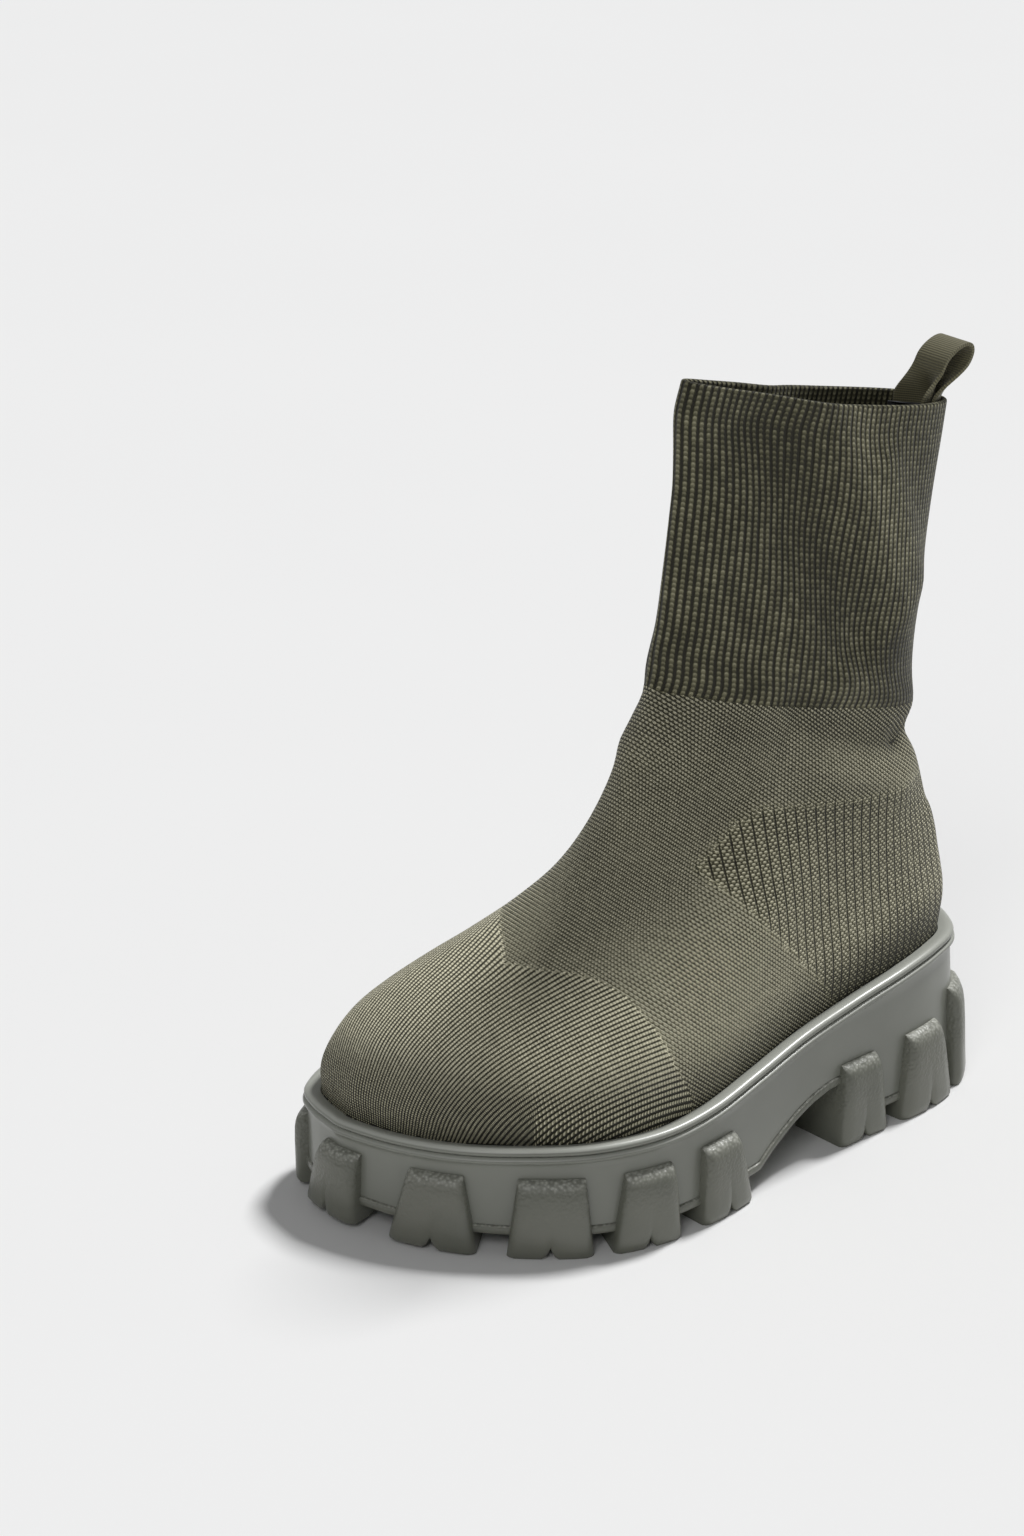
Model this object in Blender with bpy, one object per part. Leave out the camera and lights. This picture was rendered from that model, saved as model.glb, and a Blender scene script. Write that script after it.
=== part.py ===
"""Knitted sock boot on a lugged platform sole: the left boot, EU 38, standing empty.

Toe towards -Y, outer side towards +X, floor at z = 0. Lengths are metres.
"""

import math
from functools import lru_cache

import bmesh
import bpy
import numpy as np
from mathutils import Vector

# Sole: plan and heights
SOLE_LENGTH = 0.276
BALL_WIDTH = 0.120
RIM_FORE_HEIGHT = 0.0389
RIM_HEEL_HEIGHT = 0.0603
RIM_TOE_DIP = 0.0022
TREAD_DEPTH = 0.0076
ARCH_RISE = 0.0190
TOE_SPRING = 0.0025
PLATE_THICKNESS = 0.0034
PLATE_LIP = 0.0010

# Sole: wall and rim beads
WALL_TUCK = 0.0014
HEEL_FLARE = 0.0042
BEAD_HEIGHT = 0.00575
SEAT_INSET = 0.0067
SEAT_DEPTH = 0.0040

# Where the rim climbs, its toe's dip ends and the heel flares, in shares of SOLE_LENGTH
CLIMB_START = 0.30
CLIMB_SPAN = 0.62
DIP_SPAN = 0.35
FLARE_START = 0.72
FLARE_SPAN = 0.20

# Lugs that wrap up the wall, and the blocks between them
LUG_HEIGHT = 0.031
LUG_PROUD = 0.0058
LUG_REACH = 0.175 * BALL_WIDTH
LUG_NOTCH = 0.0050
NOTCH_DENT = 0.35
BLOCK_LENGTH = 0.017
BLOCK_HALF_WIDTH = 0.019

# Upper
COLLAR_FRONT_HEIGHT = 0.303
COLLAR_BACK_HEIGHT = 0.2777
COLLAR_SAG = 0.0022
SAG_START = 0.86
KNIT_WALL = 0.0020

# Insole, pull loop and patch
INSOLE_THICKNESS = 0.0040
LOOP_WIDTH = 0.0165
LOOP_RISE = 0.0215
LOOP_SPREAD = 0.0108
LOOP_LEAN = 0.0085
LOOP_TUCK = 0.018
WEBBING = 0.0014
PATCH_WIDTH = 0.015
PATCH_HEIGHT = 0.020
PATCH_THICKNESS = 0.0008

CLEARANCE = 0.0003
SOFT_CLEARANCE = 0.0005
LUG_CLEARANCE = 0.0006

# Stations from toe to heel on each side of a ring before the arch's own, the arch's share
# of the length, and steps of the plan curve
STATIONS = 35
ARCH_START = 0.525
ARCH_END = 0.775
CURVE_STEPS = 24

# Plan of the rim: share of SOLE_LENGTH from the toe, then how far the inner and the outer
# edge stand from the heel's axis, in shares of BALL_WIDTH. The toe's tip lies inwards.
PLAN = (
    # along, inner, outer
    (0.00, 0.137, -0.137),
    (0.01, 0.345, -0.055),
    (0.04, 0.420, 0.092),
    (0.09, 0.480, 0.247),
    (0.16, 0.507, 0.388),
    (0.24, 0.495, 0.501),
    (0.33, 0.452, 0.548),
    (0.42, 0.415, 0.535),
    (0.52, 0.378, 0.480),
    (0.62, 0.358, 0.425),
    (0.72, 0.350, 0.392),
    (0.82, 0.345, 0.357),
    (0.90, 0.312, 0.302),
    (0.96, 0.226, 0.226),
    (0.99, 0.115, 0.114),
    (1.00, 0.000, 0.000),
)

# Underside of the tread plate: share of SOLE_LENGTH, share of ARCH_RISE, share of TOE_SPRING
UNDERSIDE = (
    # along, arch, spring
    (0.000, 0.00, 1.00),
    (0.060, 0.00, 0.45),
    (0.120, 0.00, 0.12),
    (0.180, 0.00, 0.00),
    (0.525, 0.00, 0.00),
    (0.550, 0.25, 0.00),
    (0.580, 0.48, 0.00),
    (0.609, 0.68, 0.00),
    (0.639, 0.85, 0.00),
    (0.668, 0.96, 0.00),
    (0.690, 1.00, 0.00),
    (0.715, 0.85, 0.00),
    (0.735, 0.40, 0.00),
    (0.755, 0.06, 0.00),
    (0.775, 0.00, 0.00),
    (1.000, 0.00, 0.00),
)

# Wall and beads from the top of the wall up: how far in, and how far up the BEAD_HEIGHT
BEADS = (
    # inset in shares of SEAT_INSET, up
    (0.09, 0.00),
    (0.00, 0.10),
    (0.00, 0.34),
    (0.17, 0.45),
    (0.05, 0.60),
    (0.08, 0.84),
    (0.33, 0.98),
)

# Lugs: edge, then where top and foot start and end along that edge from the toe's tip, in
# shares of SOLE_LENGTH, and the top's height in shares of LUG_HEIGHT.
LUGS = (
    # side, top start, top end, foot start, foot end, rise
    (1, -0.022, 0.047, -0.060, 0.043, 1.00),
    (1, 0.123, 0.199, 0.094, 0.217, 1.00),
    (1, 0.272, 0.362, 0.257, 0.373, 1.00),
    (1, 0.417, 0.489, 0.399, 0.500, 1.00),
    (1, 0.543, 0.609, 0.540, 0.641, 1.02),
    (1, 0.844, 0.913, 0.837, 0.931, 1.10),
    (1, 0.978, 1.051, 0.960, 1.076, 1.12),
    (1, 1.098, 1.170, 1.092, 1.180, 1.35),
    (-1, 0.100, 0.165, 0.094, 0.180, 1.00),
    (-1, 0.235, 0.310, 0.220, 0.325, 1.00),
    (-1, 0.375, 0.445, 0.362, 0.458, 1.00),
    (-1, 0.505, 0.572, 0.497, 0.585, 1.02),
    (-1, 0.775, 0.845, 0.765, 0.857, 1.10),
    (-1, 0.905, 0.978, 0.893, 0.990, 1.12),
    (-1, 1.030, 1.098, 1.020, 1.108, 1.35),
)

# Across a lug: share of its width, how proud its face stands there, and its notch
LUG_STATIONS = (
    # across, proud, notch
    (0.00, 0.62, 0.00),
    (0.09, 0.97, 0.00),
    (0.38, 1.00, 0.00),
    (0.50, 1.00, 1.00),
    (0.62, 1.00, 0.00),
    (0.91, 0.97, 0.00),
    (1.00, 0.62, 0.00),
)

# Face of a lug from its foot up: share of its height, share of LUG_PROUD
LUG_FACE = (
    # up, proud
    (0.00, 0.80),
    (0.12, 0.98),
    (0.55, 0.95),
    (0.86, 0.72),
    (0.97, 0.45),
    (1.00, 0.12),
)

# Blocks under the sole: share of SOLE_LENGTH and share of BALL_WIDTH off the heel's axis
BLOCKS = (
    # along, across
    (0.13, -0.05),
    (0.24, 0.02),
    (0.35, 0.05),
    (0.46, 0.05),
    (0.81, 0.00),
    (0.90, 0.00),
)

# Rings of the upper from the rim to the collar. A ring leans from its front to its back.
# along: share of the seat's length; up: share of the collar's height over the seat there;
# width: share of the seat's width; tube: 0 is the foot's plan, 1 the shaft's section;
# seat: how much of the rim's own rise and fall the ring keeps.
RINGS = (
    # front along, front up, back along, back up, width, tube, seat
    (0.000, 0.000, 1.000, 0.000, 1.000, 0.00, 1.00),
    (0.002, 0.036, 1.003, 0.034, 1.016, 0.00, 1.00),
    (0.017, 0.071, 1.006, 0.062, 1.008, 0.02, 0.92),
    (0.042, 0.105, 1.006, 0.091, 0.978, 0.05, 0.80),
    (0.079, 0.133, 1.002, 0.125, 0.930, 0.10, 0.65),
    (0.128, 0.160, 0.996, 0.163, 0.876, 0.17, 0.50),
    (0.193, 0.189, 0.990, 0.202, 0.822, 0.26, 0.36),
    (0.270, 0.229, 0.981, 0.236, 0.768, 0.38, 0.24),
    (0.343, 0.283, 0.969, 0.264, 0.716, 0.52, 0.14),
    (0.397, 0.356, 0.958, 0.308, 0.666, 0.66, 0.07),
    (0.437, 0.451, 0.945, 0.370, 0.606, 0.80, 0.02),
    (0.469, 0.564, 0.937, 0.459, 0.538, 0.90, 0.00),
    (0.483, 0.655, 0.942, 0.577, 0.475, 0.96, 0.00),
    (0.494, 0.758, 0.956, 0.702, 0.418, 1.00, 0.00),
    (0.506, 0.866, 0.973, 0.837, 0.366, 1.00, 0.00),
    (0.519, 0.950, 0.988, 0.938, 0.330, 1.00, 0.00),
    (0.531, 1.000, 0.996, 1.000, 0.312, 1.00, 0.00),
)

# The shaft's section: how full it is at its front fold and at its back
FOLD_FULLNESS = 0.80
BACK_FULLNESS = 1.50

KNIT = (0.155, 0.152, 0.112)
SOLE_GREY = (0.148, 0.149, 0.119)
LUG_GREY = (0.133, 0.135, 0.104)
WEB = (0.200, 0.190, 0.120)
DARK_CLOTH = (0.030, 0.030, 0.030)


def smooth(value):
    """Ease from 0 to 1 as value goes from 0 to 1."""
    held = min(max(value, 0.0), 1.0)
    return held * held * (3.0 - 2.0 * held)


def clear_scene():
    """Remove the objects that the file starts with."""
    for item in list(bpy.data.objects):
        bpy.data.objects.remove(item, do_unlink=True)


def make_material(name, colour, roughness):
    """A plain material of one colour, none of it metal."""
    material = bpy.data.materials.new(name)
    material.use_nodes = True
    shader = material.node_tree.nodes["Principled BSDF"]
    shader.inputs["Base Color"].default_value = (*colour, 1.0)
    shader.inputs["Roughness"].default_value = roughness
    shader.inputs["Metallic"].default_value = 0.0
    return material


def make_object(name, bm, material):
    """Turn a closed bmesh into an object with one material and smooth round faces."""
    bmesh.ops.recalc_face_normals(bm, faces=bm.faces)
    mesh = bpy.data.meshes.new(name)
    bm.to_mesh(mesh)
    bm.free()
    mesh.shade_smooth()
    mesh.set_sharp_from_angle(angle=math.radians(40))
    mesh.materials.append(material)
    item = bpy.data.objects.new(name, mesh)
    bpy.context.collection.objects.link(item)
    return item


# Plan curve of the rim

def curve_through(points, steps):
    """Points of a closed centripetal Catmull-Rom curve, steps to each stretch."""
    count = len(points)
    result = []
    for index in range(count):
        p0, p1, p2, p3 = (points[(index + shift) % count] for shift in (-1, 0, 1, 2))
        t1 = math.sqrt(np.linalg.norm(p1 - p0))
        t2 = t1 + math.sqrt(np.linalg.norm(p2 - p1))
        t3 = t2 + math.sqrt(np.linalg.norm(p3 - p2))
        for step in range(steps):
            t = t1 + (t2 - t1) * step / steps
            a1 = p0 + (p1 - p0) * t / t1
            a2 = p1 + (p2 - p1) * (t - t1) / (t2 - t1)
            a3 = p2 + (p3 - p2) * (t - t2) / (t3 - t2)
            b1 = a1 + (a2 - a1) * t / t2
            b2 = a2 + (a3 - a2) * (t - t1) / (t3 - t1)
            result.append(b1 + (b2 - b1) * (t - t1) / (t2 - t1))
    return np.array(result)


def plan_edges():
    """Each side of the rim from toe to heel: columns x, y, outward x, outward y, arc."""
    outer = [np.array((row[2] * BALL_WIDTH, row[0] * SOLE_LENGTH)) for row in PLAN]
    inner = [np.array((-row[1] * BALL_WIDTH, row[0] * SOLE_LENGTH)) for row in PLAN]
    curve = curve_through(outer + inner[-2:0:-1], CURVE_STEPS)
    ahead = np.roll(curve, -1, axis=0) - np.roll(curve, 1, axis=0)
    ahead /= np.linalg.norm(ahead, axis=1)[:, None]
    outward = np.column_stack((ahead[:, 1], -ahead[:, 0]))
    heel = (len(PLAN) - 1) * CURVE_STEPS
    around = np.vstack((curve[heel:], curve[:1]))
    facing = np.vstack((outward[heel:], outward[:1]))
    edges = {}
    for side, line, normal in ((1, curve[:heel + 1], outward[:heel + 1]),
                               (-1, around[::-1], facing[::-1])):
        steps = np.linalg.norm(np.diff(line, axis=0), axis=1)
        arc = np.concatenate(((0.0,), np.cumsum(steps)))
        edges[side] = np.column_stack((line, normal, arc))
    return edges


EDGES = plan_edges()


def edge_point(side, y, inset):
    """Point of the rim's plan at y on one side, moved in by inset."""
    edge = EDGES[side]
    x, out_x, out_y = (np.interp(y, edge[:, 1], edge[:, column]) for column in (0, 2, 3))
    return np.array((x - inset * out_x, y - inset * out_y))


def edge_at_arc(side, arc, outset):
    """Point at an arc length from the toe's tip, moved out, past either end if need be."""
    length = EDGES[side][-1, 4]
    if arc < 0.0:
        side, arc = -side, -arc
    elif arc > length:
        side, arc = -side, EDGES[-side][-1, 4] - (arc - length)
    edge = EDGES[side]
    x, y, out_x, out_y = (np.interp(arc, edge[:, 4], edge[:, column]) for column in range(4))
    return np.array((x + outset * out_x, y + outset * out_y))


def station_shares():
    """Shares from toe to heel: closer at both ends, and one on each row of the arch."""
    even = [0.5 - 0.5 * math.cos(math.pi * k / STATIONS) for k in range(STATIONS + 1)]
    arch = [row[0] for row in UNDERSIDE if ARCH_START <= row[0] <= ARCH_END]
    apart = 0.5 * (arch[1] - arch[0])
    outside = [share for share in even if not ARCH_START - apart < share < ARCH_END + apart]
    return sorted(outside + arch)


def ring_order():
    """Side and share of each station of a ring: out to the heel, back along the inside."""
    shares = station_shares()
    outer = [(1, share) for share in shares]
    return outer + [(-1, share) for share in shares[-2:0:-1]]


# Heights along the sole

def rim_height(y):
    """Top of the plain wall, under the beads."""
    share = y / SOLE_LENGTH
    climb = smooth((share - CLIMB_START) / CLIMB_SPAN)
    dip = RIM_TOE_DIP * (1.0 - smooth(share / DIP_SPAN))
    return RIM_FORE_HEIGHT + (RIM_HEEL_HEIGHT - RIM_FORE_HEIGHT) * climb - dip


def seat_height(y):
    """Top of the beads, where the knit meets the rim."""
    return rim_height(y) + BEAD_HEIGHT


def toe_lift(y):
    """How far the toe spring lifts the lugs' feet off the floor."""
    shares = [row[0] for row in UNDERSIDE]
    return TOE_SPRING * np.interp(y / SOLE_LENGTH, shares, [row[2] for row in UNDERSIDE])


def plate_bottom(y):
    """Underside of the tread plate: toe spring, arch and heel."""
    shares = [row[0] for row in UNDERSIDE]
    arch = np.interp(y / SOLE_LENGTH, shares, [row[1] for row in UNDERSIDE])
    return TREAD_DEPTH + ARCH_RISE * arch + toe_lift(y)


def wall_inset(y, height):
    """How far the plain wall stands inside the rim's plan: the heel flares at its foot."""
    heel = smooth((y / SOLE_LENGTH - FLARE_START) / FLARE_SPAN)
    down = min(max(1.0 - height / rim_height(y), 0.0), 1.0)
    return WALL_TUCK - HEEL_FLARE * heel * down


# Rings and lofts

def add_ring(bm, points):
    """A closed ring of vertices and edges."""
    ring = [bm.verts.new(point) for point in points]
    for first, second in zip(ring, ring[1:] + ring[:1]):
        bm.edges.new((first, second))
    return ring


def extrude_ring(bm, ring, points):
    """Extrude a closed ring on to the next section's points."""
    edges = [bm.edges.get(pair) for pair in zip(ring, ring[1:] + ring[:1])]
    made = bmesh.ops.extrude_edge_only(bm, edges=edges)["geom"]
    fresh = {item for item in made if isinstance(item, bmesh.types.BMVert)}
    following = []
    for vert in ring:
        others = (edge.other_vert(vert) for edge in vert.link_edges)
        following.append(next(other for other in others if other in fresh))
    for vert, point in zip(following, points):
        vert.co = point
    return following


def close_across(bm, ring):
    """Close a ring with strips from each outer station to its inner fellow."""
    half = len(ring) // 2
    for index in range(half):
        corners = [ring[index], ring[index + 1], ring[-index - 1], ring[-index]]
        if index == 0:
            corners = corners[:3]
        if index == half - 1:
            corners = [ring[index], ring[index + 1], ring[-index]]
        bm.faces.new(corners)


def plan_ring(inset_at, height_at):
    """Ring on the rim's plan, with its inset and height worked out from y."""
    points = []
    for side, share in ring_order():
        base_y = share * SOLE_LENGTH
        x, y = edge_point(side, base_y, inset_at(base_y))
        points.append((x, y, height_at(y)))
    return points


def loft_closed(rings):
    """A body through rings, closed across its first and its last."""
    bm = bmesh.new()
    first = add_ring(bm, rings[0])
    ring = first
    for points in rings[1:]:
        ring = extrude_ring(bm, ring, points)
    close_across(bm, first)
    close_across(bm, ring)
    return bm


# Midsole

def wall_foot(y):
    """Underside of the midsole, a clearance over the tread plate."""
    return plate_bottom(y) + PLATE_THICKNESS + CLEARANCE


def wall_ring(share):
    """Ring of the plain wall at a share of its height."""
    def height(y):
        return wall_foot(y) + share * (rim_height(y) - wall_foot(y))
    return plan_ring(lambda y: wall_inset(y, height(y)), height)


def make_midsole(material):
    """Platform with a plain wall, two rim beads and a seat for the upper and the insole."""
    rings = [wall_ring(share) for share in (0.0, 0.3, 0.65, 0.95)]
    for inset, up in BEADS:
        rings.append(plan_ring(lambda y, inset=inset: inset * SEAT_INSET,
                               lambda y, up=up: rim_height(y) + up * BEAD_HEIGHT))
    seat = SEAT_INSET - CLEARANCE
    rings.append(plan_ring(lambda y: seat, seat_height))
    rings.append(plan_ring(lambda y: seat, lambda y: seat_height(y) - SEAT_DEPTH))
    return make_object("midsole", loft_closed(rings), material)


# Outsole

def plate_inset(y):
    """Edge of the tread plate, a lip outside the wall's foot."""
    return wall_inset(y, wall_foot(y)) - PLATE_LIP


def make_plate():
    """Tread plate that follows the toe spring, the arch and the heel."""
    rings = [
        plan_ring(lambda y: plate_inset(y) + PLATE_LIP, plate_bottom),
        plan_ring(plate_inset, lambda y: plate_bottom(y) + 0.3 * PLATE_THICKNESS),
        plan_ring(plate_inset, lambda y: plate_bottom(y) + 0.8 * PLATE_THICKNESS),
        plan_ring(lambda y: plate_inset(y) + PLATE_LIP,
                  lambda y: plate_bottom(y) + PLATE_THICKNESS),
    ]
    return loft_closed(rings)


def lug_section(row, across, proud, notch):
    """Closed section of a lug at a share of its width: face, wall side, foot."""
    side, top_start, top_end, foot_start, foot_end, rise = row
    top = rise * LUG_HEIGHT

    def place(up, outset, height=None):
        start = foot_start + (top_start - foot_start) * up
        end = foot_end + (top_end - foot_end) * up
        arc = SOLE_LENGTH * (start + (end - start) * across)
        y = edge_at_arc(side, arc, 0.0)[1]
        if height is None:
            foot = toe_lift(y) + notch * LUG_NOTCH * (1.0 - up) ** 4
            height = foot + up * (top - foot)
        else:
            height = height(y)
        x, y = edge_at_arc(side, arc, outset - wall_inset(y, height))
        return (x, y, height)

    def plate_middle(y):
        return plate_bottom(y) + 0.5 * PLATE_THICKNESS

    def stand(up, share):
        dent = 1.0 - NOTCH_DENT * notch * (1.0 - up) ** 2
        return share * proud * dent * LUG_PROUD + LUG_CLEARANCE

    points = [place(up, stand(up, share)) for up, share in LUG_FACE]
    points.append(place(1.0, LUG_CLEARANCE))
    points.append(place(0.5, LUG_CLEARANCE, lambda y: 0.5 * (top + plate_middle(y))))
    points.append(place(0.0, LUG_CLEARANCE, plate_middle))
    points.append(place(0.0, -LUG_REACH, plate_middle))
    points.append(place(0.0, -LUG_REACH))
    return points


def make_lug(row):
    """One lug: wider at its foot, with a notch in the middle of its foot."""
    bm = bmesh.new()
    first = add_ring(bm, lug_section(row, *LUG_STATIONS[0]))
    ring = first
    for station in LUG_STATIONS[1:]:
        ring = extrude_ring(bm, ring, lug_section(row, *station))
    bm.faces.new(first)
    bm.faces.new(ring)
    return bm


def make_block(along, across):
    """One block of the tread, from the floor into the plate."""
    y = along * SOLE_LENGTH
    x = across * BALL_WIDTH
    foot = toe_lift(y)
    height = plate_bottom(y) + 0.5 * PLATE_THICKNESS - foot
    bm = bmesh.new()
    bmesh.ops.create_cube(bm, size=1.0)
    bmesh.ops.scale(bm, vec=(2.0 * BLOCK_HALF_WIDTH, BLOCK_LENGTH, height), verts=bm.verts)
    bmesh.ops.translate(bm, vec=(x, y, foot + 0.5 * height), verts=bm.verts)
    return bm


def make_outsole(material):
    """Tread plate with its lugs and blocks joined to it."""
    outsole = make_object("outsole", make_plate(), material)
    additions = [make_lug(row) for row in LUGS]
    additions += [make_block(*row) for row in BLOCKS]
    for index, bm in enumerate(additions):
        cutter = make_object(f"lug_{index}", bm, material)
        cutter.hide_render = True
        cutter.display_type = "WIRE"
        join = outsole.modifiers.new(cutter.name, "BOOLEAN")
        join.operation = "UNION"
        join.object = cutter
    return outsole


# Upper

def tube_half(share):
    """Half breadth of the slack shaft at a share from front to back, 1 at its widest."""
    shares = np.linspace(0.0, 1.0, 201)
    def shape(value):
        fullness = FOLD_FULLNESS + (BACK_FULLNESS - FOLD_FULLNESS) * value
        return fullness * np.sqrt(value * (1.0 - value))
    return shape(share) / shape(shares).max()


def seat_ends():
    """Y of the upper's front and back where it stands in its seat."""
    return edge_point(1, 0.0, SEAT_INSET)[1], edge_point(1, SOLE_LENGTH, SEAT_INSET)[1]


def ring_ends(row):
    """Front and back point of a ring of the upper, as (y, z)."""
    front_along, front_up, back_along, back_up = row[:4]
    front_seat, back_seat = seat_ends()
    span = back_seat - front_seat
    low, high = seat_height(front_seat), seat_height(back_seat)
    front = np.array((front_seat + front_along * span,
                      low + front_up * (COLLAR_FRONT_HEIGHT - low)))
    back = np.array((front_seat + back_along * span,
                     high + back_up * (COLLAR_BACK_HEIGHT - high)))
    return front, back


def upper_ring(row):
    """Outer points of one ring of the upper, in the order of the stations."""
    width, tube, seat = row[4:]
    front, back = ring_ends(row)
    front_seat, back_seat = seat_ends()
    sag = COLLAR_SAG * smooth((row[1] - SAG_START) / (1.0 - SAG_START))
    half = 0.5 * width * (BALL_WIDTH - 2.0 * SEAT_INSET)
    points = []
    for side, share in ring_order():
        foot_x, foot_y = edge_point(side, share * SOLE_LENGTH, SEAT_INSET)
        along = (foot_y - front_seat) / (back_seat - front_seat)
        along += (share - along) * tube
        y, z = front + (back - front) * along
        level = seat_height(front_seat) + (seat_height(back_seat) - seat_height(front_seat)) * along
        z += seat * (seat_height(foot_y) - level)
        z -= sag * math.sin(math.pi * share)
        x = (1.0 - tube) * width * foot_x + tube * side * half * tube_half(share)
        points.append((x, y, z))
    return points


def upper_skin():
    """Outer skin of the upper as rows of points, its foot edge first."""
    rows = [upper_ring(row) for row in RINGS]
    drop = SEAT_DEPTH - CLEARANCE
    foot = [(x, y, z - drop) for x, y, z in rows[0]]
    return np.array([foot] + rows)


def skin_normals(skin):
    """Outward direction at each point of the skin."""
    around = np.roll(skin, -1, axis=1) - np.roll(skin, 1, axis=1)
    rising = np.gradient(skin, axis=0)
    rising[0] = rising[1] = (0.0, 0.0, 1.0)
    normal = np.cross(around, rising)
    return normal / np.linalg.norm(normal, axis=2)[:, :, None]


@lru_cache(maxsize=None)
def inner_skin(depth):
    """The upper's skin moved inwards, by its wall for the lining and deeper for trim."""
    skin = upper_skin()
    return skin - depth * skin_normals(skin)


def make_upper(material):
    """One hollow knitted sock, open at its collar and at its foot."""
    bm = bmesh.new()
    first = add_ring(bm, upper_skin()[0])
    ring = first
    for points in upper_skin()[1:]:
        ring = extrude_ring(bm, ring, points)
    for points in inner_skin(KNIT_WALL)[::-1]:
        ring = extrude_ring(bm, ring, points)
    for index, vert in enumerate(ring):
        bm.faces.new((vert, ring[index - 1], first[index - 1], first[index]))
    return make_object("upper", bm, material)


def make_insole(material):
    """Footbed inside the upper's foot edge, with a softened top edge."""
    inset = SEAT_INSET + KNIT_WALL + SOFT_CLEARANCE
    edge = 0.35 * INSOLE_THICKNESS

    def floor(y):
        return seat_height(y) - SEAT_DEPTH + CLEARANCE

    rings = [
        plan_ring(lambda y: inset, floor),
        plan_ring(lambda y: inset, lambda y: floor(y) + INSOLE_THICKNESS - edge),
        plan_ring(lambda y: inset + edge, lambda y: floor(y) + INSOLE_THICKNESS),
    ]
    return make_object("insole", loft_closed(rings), material)


# Pull loop and patch at the back of the collar

def collar_back(x, drop, depth):
    """Point at the collar's back: x off its middle, drop below the rim, depth inside."""
    skin = inner_skin(KNIT_WALL + depth)
    heel = len(station_shares()) - 1
    top, lower = (skin[row][heel // 2:heel + 1][::-1] for row in (-1, -2))
    high = np.array([np.interp(abs(x), top[:, 0], top[:, axis]) for axis in (1, 2)])
    low = np.array([np.interp(abs(x), lower[:, 0], lower[:, axis]) for axis in (1, 2)])
    down = (low - high) / np.linalg.norm(low - high)
    return high + drop * down


def strip(rows, thickness):
    """Closed band from rows of (x, y, z) points along its middle surface."""
    grid = np.array(rows)
    along = np.gradient(grid, axis=0)
    across = np.gradient(grid, axis=1)
    normal = np.cross(across, along)
    normal /= np.linalg.norm(normal, axis=2)[:, :, None]
    front = grid + 0.5 * thickness * normal
    back = grid - 0.5 * thickness * normal
    bm = bmesh.new()
    sections = [list(front[k]) + list(back[k][::-1]) for k in range(len(grid))]
    first = add_ring(bm, sections[0])
    ring = first
    for points in sections[1:]:
        ring = extrude_ring(bm, ring, points)
    columns = grid.shape[1]
    for section in (first, ring):
        for index in range(columns - 1):
            bm.faces.new((section[index], section[index + 1],
                          section[-index - 2], section[-index - 1]))
    return bm


def loop_rows():
    """Middle surface of the webbing: up the outer leg, over, and down the inner leg."""
    columns = np.linspace(-0.5, 0.5, 7) * LOOP_WIDTH
    outer_depth = SOFT_CLEARANCE + 0.5 * WEBBING
    inner_depth = outer_depth + WEBBING + SOFT_CLEARANCE
    rows = []
    for drop in (1.0, 0.55, 0.1):
        rows.append([leg_point(x, drop * LOOP_TUCK, outer_depth) for x in columns])
    turns = 15
    for step in range(turns):
        angle = math.pi * (step + 0.5) / turns
        rows.append([bow_point(x, angle, outer_depth, inner_depth) for x in columns])
    for drop in (0.1, 0.55, 1.0):
        rows.append([leg_point(x, drop * LOOP_TUCK, inner_depth) for x in columns])
    return rows


def leg_point(x, drop, depth):
    """Point of a leg at a depth inside the lining's curve."""
    return (x, *collar_back(x, drop, depth))


def bow_point(x, angle, outer_depth, inner_depth):
    """Point of the bow above the collar, which leans back and flattens as it rises."""
    outer_y, rim_z = collar_back(0.0, 0.0, outer_depth)
    inner_y = collar_back(0.0, 0.0, inner_depth)[0]
    depth = outer_depth + (inner_depth - outer_depth) * angle / math.pi
    curve = collar_back(x, 0.0, depth) - collar_back(0.0, 0.0, depth)
    rise = math.sin(angle)
    spread = 0.5 * (outer_y - inner_y)
    spread += (LOOP_SPREAD - spread) * smooth(rise)
    y = 0.5 * (outer_y + inner_y) + spread * math.cos(angle) + LOOP_LEAN * rise * rise
    z = rim_z + LOOP_RISE * rise
    curled = 1.0 - smooth(1.5 * rise)
    return (x, y + curve[0] * curled, z + curve[1] * curled)


def make_pull_loop(material):
    """Webbing loop whose two legs are sewn inside the back of the collar."""
    return make_object("pull_loop", strip(loop_rows(), WEBBING), material)


def make_back_patch(material):
    """Cloth patch over the ends of the loop's legs."""
    depth = 3.0 * SOFT_CLEARANCE + 2.0 * WEBBING + 0.5 * PATCH_THICKNESS
    columns = np.linspace(-0.5, 0.5, 9) * PATCH_WIDTH
    rows = []
    for share in (0.12, 0.45, 0.8, 1.1):
        rows.append([leg_point(x, share * PATCH_HEIGHT, depth) for x in columns])
    return make_object("back_patch", strip(rows, PATCH_THICKNESS), material)


def set_origin():
    """Stand the boot on z = 0 with the middle of its bounds over the origin."""
    bpy.context.view_layer.update()
    graph = bpy.context.evaluated_depsgraph_get()
    corners = []
    for item in bpy.data.objects:
        if not item.hide_render:
            corners += [Vector(corner) for corner in item.evaluated_get(graph).bound_box]
    low = Vector([min(corner[axis] for corner in corners) for axis in range(3)])
    high = Vector([max(corner[axis] for corner in corners) for axis in range(3)])
    shift = Vector((-(low.x + high.x) / 2.0, -(low.y + high.y) / 2.0, -low.z))
    for item in bpy.data.objects:
        item.location += shift


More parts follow.
